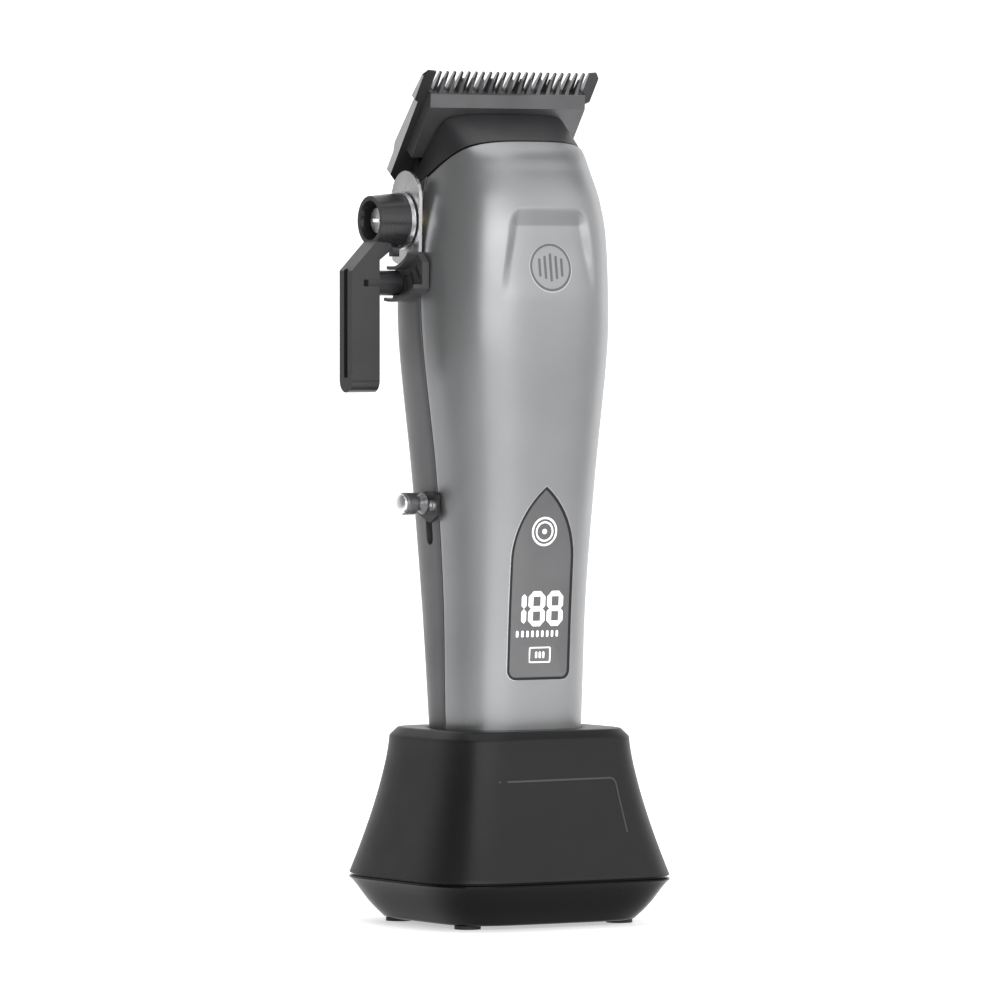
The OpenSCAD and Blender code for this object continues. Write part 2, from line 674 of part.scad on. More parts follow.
guide_half = 8.5;
arm_x = side_x + 7.85;
arm_u = 17.5;
post_half = 3.5;
yoke_x = 3.75;
yoke_y = 3.3;
yoke_wall = 1.4;
module cutter_guide() {
    mid = crank_angle - lever_swing / 2;
    py = lever_y + crank_radius * cos(mid);
    pz = lever_z + crank_radius * sin(mid);
    pu = (py - tip_y) * sin(blade_lean) - (pz - tip_z) * cos(blade_lean) - travel / 2;
    pw = (py - tip_y) * cos(blade_lean) + (pz - tip_z) * sin(blade_lean);
    slot_half_u = crank_r + crank_fit;
    color("#d9d9d2") in_blade() difference() {
        union() {
            block(-guide_half, guide_half, 11.5, 23.6, -5, -cutter_thick - 0.1);
            block(arm_x, -guide_half + 1, arm_u, 23.6, -5, -cutter_thick - 0.1);
            block(-guide_half, guide_half, cutter_length + 0.1, 23.6, -cutter_thick - 0.2, -0.1);
            along_x(arm_x, arm_x + 2.4) polygon([[arm_u, -3.1], [23.5, -3.1], [pu + 2.9, pw + 3.6],
                [pu + 2.9, pw - 2.2], [pu - 2.6, pw - 2.2], [20.5, -6], [arm_u, -5]]);
        }
        block(-post_half - 1.5, post_half + 1.5, 13, 21, -6, 0);
        block(arm_x - 1, arm_x + 4, pu - slot_half_u, pu + slot_half_u, pw - 1.6, pw + 1.6);
    }
}
module cutter_spring() {
    color("#b5b5b8") in_blade() {
        for (s = [-1, 1]) translate([s * 7, 12.5, -5.6]) rotate([-90, 0, 0]) cylinder(h = 10.1, r = 0.6);
        rod_x(-7, 7, 22.6, -5.6, 0.6);
    }
}
module cam_follower() {
    color("#e4e4de") difference() {
        union() {
            block(-post_half, post_half, 3.6, 6.4, cam_base + 11, tip_z - 11.5);
            block(-yoke_x - yoke_wall, yoke_x + yoke_wall, motor_y - yoke_y - yoke_wall,
                motor_y + yoke_y + yoke_wall, cam_base + 6.2, cam_base + 13);
        }
        // slot that the cam's pin runs in
        block(-yoke_x, yoke_x, motor_y - yoke_y, motor_y + yoke_y, cam_base, cam_base + 11.5);
        in_blade() block(-10, 10, 0, 40, -cutter_thick, 5);
    }
}

// ---- power switch ----
switch_y = 6.2;
switch_z = body_base + 65.4;
slot_half = 1.4;
stem_high = 1.8;
slot_low = switch_z - stem_high - switch_travel - 1.2;
slot_high = switch_z + 2.6;
switch_x = -half_w(slot_high) - 0.35;
stem_half = 1.1;
switch_skin = 0.8;
knob_high = 5.2;
module switch_body() {
    color("#202022") block(-half_w(slot_low) + wall + 0.5, -rail_in - rail - 0.1, switch_y - 3, switch_y + 3,
        slot_low - 2, slot_high + 4);
}
module switch_plate() {
    color("#2c2c2e") {
        translate([0, switch_y, switch_z]) along_x(switch_x - switch_skin, switch_x)
            polygon([[-6.4, -2.6], [-6.4, 2], [-5, 2.6], [3.6, 2.4], [5.2, 1], [5.2, -1], [-2.6, -4.2],
                [-3.6, -4.2]]);
        block(switch_x - eps, -half_w(slot_low) + wall + 0.2, switch_y - stem_half, switch_y + stem_half,
            switch_z - stem_high, switch_z + stem_high);
    }
}
module switch_knob() {
    color("#77787a") translate([switch_x - switch_skin, switch_y, switch_z]) rotate([0, -90, 0])
        rotate_extrude() polygon([[0, 0], [2.5, 0], [1.7, 1.1], [1.6, 1.9], [knob_r, 2.3], [knob_r, knob_high],
            [0, knob_high]]);
}
module switch_cap() {
    color("#d4d4d6") translate([switch_x - switch_skin - knob_high, switch_y, switch_z]) rotate([0, -90, 0])
        rotate_extrude()
        polygon([[0, 0], [knob_r - 0.3, 0], [knob_r - 0.5, 0.5], [knob_r - 1, 0.8], [0, 0.9]]);
}
module switch_screw() {
    color("#c8c8ca") translate([switch_x - switch_skin, switch_y - 4.8, switch_z - 0.3])
        rotate([0, -90, 0]) difference() {
        cylinder(h = 0.7, r = 1.2);
        translate([0, 0, 0.25]) cylinder(h = 1, r = 0.6, $fn = 6);
    }
}

// ---- stand ----
stand_power = 5;
stand_gap = 0.4;
flare_power = 1.4;
shell_low = tray_height + stand_gap;
rim_top = 1.9;
// flat deck between the grip and the shoulder
deck_x = 7.4;
deck_y = 7.2;
shoulder_x = half_w(stand_height + rim_top) + deck_x;
shoulder_y = back_y(stand_height + rim_top) + deck_y;
flare_x = stand_width / 2 - shoulder_x;
flare_y = stand_depth / 2 - shoulder_y;
// Outline of the stand at height z: out is 0 at the shoulder and 1 at the seam
function stand_ring(inset, z, out, n = 48) = [for (i = [0:n - 1]) let(a = 360 * i / n)
    [(shoulder_x + out * flare_x - inset) * signed_pow(cos(a), 2 / stand_power),
     (shoulder_y + out * flare_y - inset) * signed_pow(sin(a), 2 / stand_power), z]];
function flare_at(z) = pow(clamp01((stand_height - z) / (stand_height - shell_low)), flare_power);
FLARE_STEPS = [0, 0.08, 0.18, 0.3, 0.45, 0.62, 0.8, 1];
floor_top = body_base;
well_foot = body_base - 2;
well_wall = 1.8;
module stand_shell() {
    color("#38383a") difference() {
        loft(concat(
            [for (t = FLARE_STEPS) let(z = shell_low + (stand_height - shell_low) * t)
                stand_ring(0, z, flare_at(z))],
            [stand_ring(0.5, stand_height + rim_top - 0.8, 0), stand_ring(1.7, stand_height + rim_top, 0)],
            [grip_ring(well_gap + 0.8, stand_height + rim_top),
             grip_ring(well_gap, stand_height + rim_top - 0.8),
             grip_ring(well_gap, (stand_height + well_foot) / 2), grip_ring(well_gap, well_foot),
             grip_ring(well_gap + well_wall, well_foot), grip_ring(well_gap + well_wall, stand_height - 1.5)],
            [for (i = [len(FLARE_STEPS) - 1:-1:0])
                let(z = shell_low + (stand_height - 2 - shell_low) * FLARE_STEPS[i])
                stand_ring(stand_wall, z, flare_at(z))]), looped = true);
    }
}
tray_foot = 0.8;
tray_foot_inset = 6.3;
tray_floor = 3.2;
ledge = 0.8;
module stand_tray() {
    low = tray_foot + 0.7;
    high = tray_height - 0.6;
    lip = shell_low + 1.6;
    color("#161617") difference() {
        loft(concat([stand_ring(tray_foot_inset + 0.8, tray_foot, 1)],
            [for (t = [0:0.25:1]) stand_ring(tray_foot_inset * (1 - pow(t, 0.85)), low + (high - low) * t, 1)],
            [stand_ring(0.3, tray_height, 1), stand_ring(ledge, tray_height, 1),
             stand_ring(ledge, shell_low, 1), stand_ring(stand_wall + 0.15, shell_low, 1),
             stand_ring(stand_wall + 0.6, lip, 1), stand_ring(stand_wall + 1.6, lip, 1),
             stand_ring(tray_foot_inset + 3, tray_floor, 1)]));
        for (x = [-1, 1], y = [-1, 1]) translate([x * screw_x, y * screw_y, 0]) {
            cylinder(h = 5, r = 1.4);
            cylinder(h = 2, r = 2.6);
        }
        along_y(10, stand_depth) inlet_outline(0);
    }
}
foot_r = 3;
centre_foot_r = 5;
foot_x = stand_width / 2 - 11;
foot_y = stand_depth / 2 - 13.8;
screw_x = 12;
screw_y = 7.5;
module stand_feet() {
    color("#101010") {
        for (x = [-1, 1], y = [-1, 1]) translate([x * foot_x, y * foot_y, 0])
            cylinder(h = tray_foot, r = foot_r);
        cylinder(h = tray_foot, r = centre_foot_r);
    }
}
ballast_high = 3.5;
module stand_ballast() {
    color("#6f7072") difference() {
        block(-16, 16, -11, 11, tray_floor, tray_floor + ballast_high);
        for (x = [-1, 1], y = [-1, 1]) translate([x * screw_x, y * screw_y, 0]) cylinder(h = 9, r = 1.2);
    }
}
module stand_screws() {
    color("#b8b8b8") for (x = [-1, 1], y = [-1, 1]) translate([x * screw_x, y * screw_y, tray_foot + 0.1]) {
        cylinder(h = 1.1, r = 2.4);
        cylinder(h = 5.6, r = 1.2);
    }
}
inlet_z = 6;
inlet_w = 9;
inlet_h = 3.2;
module inlet_outline(g) {
    for (s = [-1, 1]) translate([s * (inlet_w - inlet_h) / 2, inlet_z]) circle(r = inlet_h / 2 + g);
    translate([-(inlet_w - inlet_h) / 2, inlet_z - inlet_h / 2 - g])
        square([inlet_w - inlet_h, inlet_h + 2 * g]);
}
inlet_mouth = stand_depth / 2 - 3.3;
board_base = inlet_z + inlet_h / 2;
module stand_inlet() {
    color("#a8aaad") {
        difference() {
            along_y(inlet_mouth - 8, inlet_mouth) inlet_outline(0);
            along_y(inlet_mouth - 7, inlet_mouth + 1) inlet_outline(-0.35);
        }
        block(-3.2, 3.2, inlet_mouth - 7.5, inlet_mouth - 2, inlet_z - 0.35, inlet_z + 0.35);
    }
}
module stand_board() {
    color("#2f5a3a") block(-15, 15, -9, stand_depth / 2 - 8.1, board_base, board_base + board_thick);
}
module socket_floor() {
    color("#202022") difference() {
        loft([grip_ring(well_gap + well_wall, well_foot - 2), grip_ring(well_gap + well_wall, well_foot),
            grip_ring(well_gap - 0.1, well_foot), grip_ring(well_gap - 0.1, floor_top)]);
        pair(contact_x, clipper_y, well_foot - 3) cylinder(h = 9, r = pin_r + 0.5);
    }
}
module pin_sleeves() {
    color("#b08d57") pair(contact_x, clipper_y, floor_top - 9) difference() {
        cylinder(h = 9, r = pin_r + 0.5);
        translate([0, 0, 1]) cylinder(h = 9, r = pin_r + run_fit);
    }
}
module charge_pins() {
    color("#c9a24a") pair(contact_x, clipper_y, floor_top - 6.8)
        cylinder(h = 6.8 + contact_sink, r = pin_r);
}

// ---- one solid or group per name ----
stand_shell();
stand_tray();
stand_feet();
stand_ballast();
stand_board();
stand_inlet();
stand_screws();
socket_floor();
pin_sleeves();
charge_pins();
top_cover();
lower_housing();
seam_gasket();
end_cap();
cap_screws();
charge_contacts();
display_lens();
display_panel();
display_board();
main_board();
battery();
chassis();
motor_can();
motor_bearing();
motor_mount();
motor_magnets();
rotor_core();
motor_shaft();
drive_cam();
head_collar();
fixed_blade();
blade_screws();
cutter_guide();
cutter_spring();
moving_blade();
cam_follower();
lever_plate();
detent_plate();
lever_bush();
lever_cam();
taper_lever();
lever_screw();
lever_washer();
detent_pin();
switch_body();
switch_plate();
switch_knob();
switch_cap();
switch_screw();
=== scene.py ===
"""Cordless hair clipper in its charging stand: the finished look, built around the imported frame.

Lengths in the property groups are in metres. The shape functions below work in millimetres,
in the frame's own axes: +Z up, the display faces -Y, the taper lever is on the -X side.
"""
import math

import bmesh
import bpy
import numpy as np
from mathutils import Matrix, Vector


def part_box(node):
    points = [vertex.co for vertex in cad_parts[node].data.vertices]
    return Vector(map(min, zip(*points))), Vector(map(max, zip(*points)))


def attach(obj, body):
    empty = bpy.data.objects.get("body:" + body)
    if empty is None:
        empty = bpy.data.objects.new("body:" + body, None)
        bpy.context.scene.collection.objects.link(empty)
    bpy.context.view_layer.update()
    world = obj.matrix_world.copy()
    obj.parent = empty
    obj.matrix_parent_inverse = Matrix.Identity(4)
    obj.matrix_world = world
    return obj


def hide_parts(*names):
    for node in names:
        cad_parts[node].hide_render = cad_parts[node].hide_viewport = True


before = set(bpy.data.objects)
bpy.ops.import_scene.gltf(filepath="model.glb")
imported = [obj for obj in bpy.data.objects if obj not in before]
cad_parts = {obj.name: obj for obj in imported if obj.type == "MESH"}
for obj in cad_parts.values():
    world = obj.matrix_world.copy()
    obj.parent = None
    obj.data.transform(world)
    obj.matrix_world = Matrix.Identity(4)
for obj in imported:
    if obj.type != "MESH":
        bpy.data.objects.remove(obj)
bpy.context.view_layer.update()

bl_info = {
    "name": "Hair Clipper in Charging Stand",
    "version": (1, 0, 0),
    "blender": (4, 5, 0),
    "location": "View3D > Sidebar > Clipper",
    "description": "Builds the shells, display, lever, blades and stand of a cordless hair clipper",
    "category": "Object",
}

MM = 0.001


def low(node, axis):
    """Lowest coordinate of a frame node along an axis, in millimetres."""
    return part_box(node)[0][axis] / MM


def high(node, axis):
    """Highest coordinate of a frame node along an axis, in millimetres."""
    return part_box(node)[1][axis] / MM


def middle(node, axis):
    """Middle of a frame node along an axis, in millimetres."""
    return 0.5 * (low(node, axis) + high(node, axis))


# ---------------------------------------------------------------- driving sizes, from the frame
BODY_BASE = low("end_cap", 2)
SHELL_BASE = low("lower_housing", 2)
TIP_BELOW_TOP = 0.3
HEAD_BELOW_TIP = 20.7
TIP_Z = high("fixed_blade", 2) - TIP_BELOW_TOP
HEAD_Z = TIP_Z - HEAD_BELOW_TIP
BODY_LENGTH = HEAD_Z - BODY_BASE
BODY_HALF = high("top_cover", 0)
CLIPPER_Y = 1.7
FRONT_DEPTH = 20.2
BACK_DEPTH = high("lower_housing", 1) - CLIPPER_Y
TIP_Y = -2.0
BLADE_LEAN = math.radians(37)
PARTING_FALL = 0.57
LENS_LOW = low("display_lens", 2)
LENS_TOP = high("display_lens", 2)
LENS_HALF = high("display_lens", 0)
LEVER_Y = middle("lever_washer", 1)
LEVER_Z = middle("lever_washer", 2)

# Grip outline: share of length, half width, front depth, back depth, and the seam's drift
PROFILE = np.array([
    [0.000, 0.708, 0.649, 0.613, 0.0], [0.119, 0.745, 0.693, 0.649, 0.0],
    [0.308, 0.769, 0.772, 0.820, 0.0], [0.505, 0.852, 0.891, 0.933, 0.1],
    [0.694, 0.981, 0.985, 0.990, 0.9], [0.771, 1.000, 1.000, 1.000, 1.5],
    [0.883, 0.977, 0.990, 0.979, 2.4], [0.943, 0.926, 0.916, 0.918, 3.0],
    [0.984, 0.861, 0.802, 0.856, 3.4], [1.023, 0.810, 0.629, 0.763, 3.6],
    [1.079, 0.745, 0.020, 0.580, 3.8]])
FRONT_POWER = 3.0
BACK_POWER = 3.6
WALL = 2.2


# ---------------------------------------------------------------- properties
class ClipperSizes(bpy.types.PropertyGroup):
    """Sizes that shape the visible pieces."""
    seam_gap: bpy.props.FloatProperty(
        name="Seam gap", description="Gap between cover and housing", default=0.0005,
        min=0.0002, max=0.001, unit="LENGTH")
    edge_round: bpy.props.FloatProperty(
        name="Edge rounding", description="Radius on the shells' edges", default=0.00035,
        min=0.0001, max=0.001, unit="LENGTH")
    recess_depth: bpy.props.FloatProperty(
        name="Thumb recess depth", description="How deep the thumb recess is", default=0.0013,
        min=0.0, max=0.0015, unit="LENGTH")
    recess_length: bpy.props.FloatProperty(
        name="Thumb recess length", description="From its top edge to where it fades out",
        default=0.0215, min=0.01, max=0.03, unit="LENGTH")
    lens_sink: bpy.props.FloatProperty(
        name="Lens sink", description="How far the lens lies under the cover's skin",
        default=0.0002, min=0.0, max=0.0006, unit="LENGTH")
    mark_lift: bpy.props.FloatProperty(
        name="Mark lift", description="How far printed marks stand over their surface",
        default=0.00005, min=0.00002, max=0.0002, unit="LENGTH")
    hard_edge: bpy.props.FloatProperty(
        name="Hard part edge", description="Bevel on small metal and moulded parts",
        default=0.00018, min=0.00005, max=0.0005, unit="LENGTH")


class ClipperColours(bpy.types.PropertyGroup):
    """Base colours of the finishes, as linear values."""
    cover: bpy.props.FloatVectorProperty(
        name="Cover", description="Satin metallic grey cover", subtype="COLOR", size=3,
        default=(0.315, 0.318, 0.324), min=0, max=1)
    housing: bpy.props.FloatVectorProperty(
        name="Housing", description="Darker rear housing", subtype="COLOR", size=3,
        default=(0.105, 0.105, 0.110), min=0, max=1)
    collar: bpy.props.FloatVectorProperty(
        name="Collar", description="Black nose collar", subtype="COLOR", size=3,
        default=(0.020, 0.020, 0.022), min=0, max=1)
    lens: bpy.props.FloatVectorProperty(
        name="Lens", description="Smoked display lens", subtype="COLOR", size=3,
        default=(0.130, 0.130, 0.134), min=0, max=1)
    stand: bpy.props.FloatVectorProperty(
        name="Stand", description="Matt black stand", subtype="COLOR", size=3,
        default=(0.008, 0.008, 0.009), min=0, max=1)
    tray: bpy.props.FloatVectorProperty(
        name="Tray", description="Gloss black tray", subtype="COLOR", size=3,
        default=(0.005, 0.005, 0.0055), min=0, max=1)
    steel: bpy.props.FloatVectorProperty(
        name="Bright steel", description="Bare metal parts", subtype="COLOR", size=3,
        default=(0.80, 0.80, 0.81), min=0, max=1)
    blade: bpy.props.FloatVectorProperty(
        name="Blade coating", description="Black coating of the blades", subtype="COLOR", size=3,
        default=(0.045, 0.045, 0.047), min=0, max=1)


class ClipperStageSettings(bpy.types.PropertyGroup):
    """Camera and studio."""
    azimuth: bpy.props.FloatProperty(
        name="Camera azimuth", description="Camera angle round the object, towards its lever side",
        default=math.radians(-31), subtype="ANGLE")
    elevation: bpy.props.FloatProperty(
        name="Camera elevation", description="Camera angle over the table",
        default=math.radians(1.4), subtype="ANGLE")
    frame_width: bpy.props.FloatProperty(
        name="Frame width", description="Width that the view takes in at the object",
        default=0.2278, unit="LENGTH")
    ambient: bpy.props.FloatProperty(
        name="Ambient", description="Strength of the room's even light", default=0.24, min=0.0)
    light: bpy.props.FloatProperty(
        name="Light", description="Strength of the softboxes", default=1.0, min=0.0)
    sweep_glow: bpy.props.FloatProperty(
        name="Sweep glow", description="How far the backdrop is lit from behind", default=0.5, min=0.0)
    lens_length: bpy.props.FloatProperty(
        name="Lens", description="Focal length in millimetres", default=300.0, min=20)


def sizes():
    """The size settings."""
    return bpy.context.scene.clipper_sizes


def colours():
    """The colour settings."""
    return bpy.context.scene.clipper_colours


# ---------------------------------------------------------------- shape of the grip
def along(column, z):
    """Smooth curve through a column of PROFILE at heights z, in millimetres."""
    shares = (np.asarray(z, float) - BODY_BASE) / BODY_LENGTH
    knots = PROFILE[:, 0]
    i = np.clip(np.searchsorted(knots, shares, side="right") - 1, 0, len(knots) - 2)
    before = np.maximum(np.arange(len(knots)) - 1, 0)
    after = np.minimum(np.arange(len(knots)) + 1, len(knots) - 1)
    values = PROFILE[:, column]
    lean = (values[after] - values[before]) / (knots[after] - knots[before])
    h = knots[i + 1] - knots[i]
    t = (shares - knots[i]) / h
    t2, t3 = t * t, t * t * t
    return ((2 * t3 - 3 * t2 + 1) * values[i] + (t3 - 2 * t2 + t) * h * lean[i]
            + (3 * t2 - 2 * t3) * values[i + 1] + (t3 - t2) * h * lean[i + 1])


def half_w(z):
    """Half width of the grip."""
    return BODY_HALF * along(1, z)


def seam_y(z):
    """Where the seam runs."""
    return CLIPPER_Y + along(4, z)


def front_y(z):
    """Foremost line of the cover."""
    return CLIPPER_Y - FRONT_DEPTH * along(2, z)


def back_y(z):
    """Rearmost line of the housing."""
    return CLIPPER_Y + BACK_DEPTH * along(3, z)


def ease(x):
    """Smooth step from 0 to 1."""
    t = np.clip(x, 0, 1)
    return t * t * (3 - 2 * t)


def skin(angle, z, inset):
    """X and Y of the grip's skin at an angle (radians) and height, moved in by inset."""
    c, s = np.cos(angle), np.sin(angle)
    front = s < 0
    power = np.where(front, FRONT_POWER, BACK_POWER)
    x = (half_w(z) - inset) * np.sign(c) * np.abs(c) ** (2 / power)
    seam = seam_y(z)
    depth = np.where(front, seam - front_y(z), back_y(z) - seam) - inset
    y = seam + np.sign(s) * depth * np.abs(s) ** (2 / power)
    return x, y


RECESS_TOP = HEAD_Z - 10.1
RECESS_HALF_TOP = 10.0
RECESS_HALF_FOOT = 13.2
RECESS_BEVEL = 4.3
RECESS_SIDE_BEVEL = 2.8
RECESS_SIDE_NARROWING = 1.3
RECESS_FADE = 13.0
RECESS_SOFTNESS = 0.25


def recess(x, z):
    """Depth of the thumb recess at a point of the cover."""
    length = sizes().recess_length / MM
    down = (RECESS_TOP - z) / length
    half = RECESS_HALF_TOP + (RECESS_HALF_FOOT - RECESS_HALF_TOP) * np.clip(down, 0, 1)
    bevel = RECESS_SIDE_BEVEL - RECESS_SIDE_NARROWING * np.clip(down, 0, 1)
    side = np.clip((half - np.abs(x)) / bevel, -1, 1)
    top = np.clip((RECESS_TOP - z) / RECESS_BEVEL, -1, 1)
    level = np.clip(1 - np.hypot(np.clip(1 - side, 0, 2), np.clip(1 - top, 0, 2)), 0, 1)
    level = (1 - RECESS_SOFTNESS) * level + RECESS_SOFTNESS * ease(level)
    return sizes().recess_depth / MM * level * ease((1 - down) * length / RECESS_FADE)


def cover_y(x, z):
    """Y of the cover's skin in front, at X and height z."""
    seam = seam_y(z)
    across = np.clip(1 - np.abs(x / half_w(z)) ** FRONT_POWER, 0, 1) ** (1 / FRONT_POWER)
    return seam - (seam - front_y(z)) * across + recess(x, z)


SEARCH_BELOW = 8.0
SEARCH_ABOVE = 12.6
HALVINGS = 26


def settle(angle, share, inset, floor, ceiling):
    """Height of a skin point that lies a share of the way from a floor plane to a ceiling plane.

    floor and ceiling give a height for a Y; both may slope, so the height is found by halving.
    """
    lowest = np.full(np.broadcast(angle, share, inset).shape, SHELL_BASE - SEARCH_BELOW)
    highest = np.full(lowest.shape, HEAD_Z + SEARCH_ABOVE)
    for _ in range(HALVINGS):
        z = 0.5 * (lowest + highest)
        y = skin(angle, z, inset)[1]
        over = z - floor(y) - share * (ceiling(y) - floor(y)) > 0
        highest = np.where(over, z, highest)
        lowest = np.where(over, lowest, z)
    return 0.5 * (lowest + highest)


def parting(lift):
    """The sloping plane where cover and housing end and the collar begins."""
    return lambda y: HEAD_Z + lift - PARTING_FALL * y


def level_plane(z):
    """A flat plane, in the form that settle takes."""
    return lambda y: z + 0 * y


# ---------------------------------------------------------------- mesh helpers
def shade(mesh, sharp):
    """Smooth shading that keeps edges sharper than an angle in degrees."""
    mesh.shade_smooth()
    mesh.set_sharp_from_angle(angle=math.radians(sharp))


def add_object(name, verts, faces, sharp=38.0):
    """Object from millimetre vertices, with consistent normals and smooth shading."""
    mesh = bpy.data.meshes.new(name)
    mesh.from_pydata([tuple(float(c) * MM for c in v) for v in verts], [], faces)
    mesh.validate()
    bm = bmesh.new()
    bm.from_mesh(mesh)
    bmesh.ops.remove_doubles(bm, verts=bm.verts, dist=1e-7)
    bmesh.ops.recalc_face_normals(bm, faces=bm.faces)
    bm.to_mesh(mesh)
    bm.free()
    shade(mesh, sharp)
    obj = bpy.data.objects.new(name, mesh)
    bpy.context.scene.collection.objects.link(obj)
    return obj


def grid_faces(rows, cols, wrap_rows=False, wrap_cols=True):
    """Quads over a grid of rows and columns."""
    faces = []
    for i in range(rows if wrap_rows else rows - 1):
        k = (i + 1) % rows
        for j in range(cols if wrap_cols else cols - 1):
            m = (j + 1) % cols
            faces.append((i * cols + j, i * cols + m, k * cols + m, k * cols + j))
    return faces


def loft(name, rings, looped=False, sharp=38.0):
    """Closed surface through equal rings, with flat ends unless it loops round."""
    rows, cols = len(rings), len(rings[0])
    faces = grid_faces(rows, cols, wrap_rows=looped)
    if not looped:
        faces.append(tuple(range(cols)))
        faces.append(tuple(range((rows - 1) * cols, rows * cols)))
    return add_object(name, [p for ring in rings for p in ring], faces, sharp)


def tube_ring(x, r, y, z, cols=96):
    """Ring round an axis along X."""
    return [(x, y + r * math.cos(2 * math.pi * i / cols), z + r * math.sin(2 * math.pi * i / cols))
            for i in range(cols)]


def turned(name, profile, y, z, sharp=35.0):
    """Closed turning about an axis along X; profile lists (x, r) once round its outline."""
    rings = [tube_ring(x, max(r, 0.0), y, z) for x, r in profile]
    return loft(name, rings, looped=True, sharp=sharp)


def cut_away(obj, cutter):
    """Take a cutter's volume out of an object and remove the cutter."""
    mod = obj.modifiers.new("cut", "BOOLEAN")
    mod.operation = "DIFFERENCE"
    mod.solver = "EXACT"
    mod.object = cutter
    bake_modifiers(obj)
    bpy.data.objects.remove(cutter, do_unlink=True)


def bake_modifiers(obj):
    """Apply an object's modifiers to its own mesh."""
    graph = bpy.context.evaluated_depsgraph_get()
    mesh = bpy.data.meshes.new_from_object(obj.evaluated_get(graph))
    obj.modifiers.clear()
    old = obj.data
    obj.data = mesh
    bpy.data.meshes.remove(old)


def soften(obj, width=None, angle=35.0, segments=2):
    """Small bevel on an object's hard edges."""
    mod = obj.modifiers.new("edge", "BEVEL")
    mod.width = width or sizes().hard_edge
    mod.segments = segments
    mod.limit_method = "ANGLE"
    mod.angle_limit = math.radians(angle)
    mod.harden_normals = True
    return mod


def dress(obj, material):
    """Give an object one material."""
    obj.data.materials.clear()
    obj.data.materials.append(material)
    return obj


def place(obj, body, material, replaces=()):
    """Hang a new piece on its body, with its finish and the frame node it stands for."""
    dress(obj, material)
    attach(obj, body)
    if replaces:
        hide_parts(*replaces)
    return obj


# ---------------------------------------------------------------- finishes
def node_tree(name):
    """New material with its Principled shader and object coordinates."""
    mat = bpy.data.materials.new(name)
    mat.use_nodes = True
    tree = mat.node_tree
    shader = tree.nodes["Principled BSDF"]
    coords = tree.nodes.new("ShaderNodeTexCoord")
    return mat, tree, shader, coords.outputs["Object"]


def noise(tree, coords, scale, detail=4.0, stretch=None):
    """Noise of a given scale per metre, drawn out along an axis if stretch is given."""
    if stretch:
        mapping = tree.nodes.new("ShaderNodeMapping")
        mapping.inputs["Scale"].default_value = stretch
        tree.links.new(coords, mapping.inputs["Vector"])
        coords = mapping.outputs["Vector"]
    tex = tree.nodes.new("ShaderNodeTexNoise")
    tex.inputs["Scale"].default_value = scale
    tex.inputs["Detail"].default_value = detail
    tree.links.new(coords, tex.inputs["Vector"])
    return tex.outputs["Fac"]


def ramp(tree, value, at_low, at_high, first=0.35, last=0.65):
    """Two-colour ramp over a value."""
    node = tree.nodes.new("ShaderNodeValToRGB")
    node.color_ramp.elements[0].position = first
    node.color_ramp.elements[1].position = last
    node.color_ramp.elements[0].color = (*at_low, 1)
    node.color_ramp.elements[1].color = (*at_high, 1)
    tree.links.new(value, node.inputs["Fac"])
    return node.outputs["Color"]


def spread(tree, value, low_end, high_end):
    """Map a 0..1 value to a range."""
    node = tree.nodes.new("ShaderNodeMapRange")
    node.inputs["From Min"].default_value = 0.3
    node.inputs["From Max"].default_value = 0.7
    node.inputs["To Min"].default_value = low_end
    node.inputs["To Max"].default_value = high_end
    tree.links.new(value, node.inputs["Value"])
    return node.outputs["Result"]


def bump(tree, shader, height, strength, distance):
    """Fine relief from a height value."""
    node = tree.nodes.new("ShaderNodeBump")
    node.inputs["Strength"].default_value = strength
    node.inputs["Distance"].default_value = distance
    tree.links.new(height, node.inputs["Height"])
    tree.links.new(node.outputs["Normal"], shader.inputs["Normal"])


def scaled(colour, factor):
    """A colour made lighter or darker."""
    return tuple(min(1.0, c * factor) for c in colour)


def finish(name, colour, metallic, rough, grain, depth, vary=0.06, stretch=None, coat=0.0,
           rough_vary=0.04, coat_rough=0.1, shine=0.5):
    """A moulded, painted or metal finish: cloudy tone, uneven gloss and a fine grain.

    grain is the grain's scale per metre and depth its relief in metres. vary and rough_vary are
    how far the tone and the roughness drift, and stretch draws the grain out along an axis.
    """
    look = name + "_look"
    if look in bpy.data.materials:
        return bpy.data.materials[look]
    mat, tree, shader, coords = node_tree(look)
    shader.inputs["Metallic"].default_value = metallic
    shader.inputs["Specular IOR Level"].default_value = shine
    shader.inputs["Coat Weight"].default_value = coat
    shader.inputs["Coat Roughness"].default_value = coat_rough
    clouds = noise(tree, coords, 60.0, 3.0)
    tree.links.new(ramp(tree, clouds, scaled(colour, 1 - vary), scaled(colour, 1 + vary)),
                   shader.inputs["Base Color"])
    smudges = noise(tree, coords, 140.0, 5.0)
    tree.links.new(spread(tree, smudges, rough - rough_vary, rough + rough_vary),
                   shader.inputs["Roughness"])
    bump(tree, shader, noise(tree, coords, grain, 3.0, stretch), 0.5, depth)
    return mat


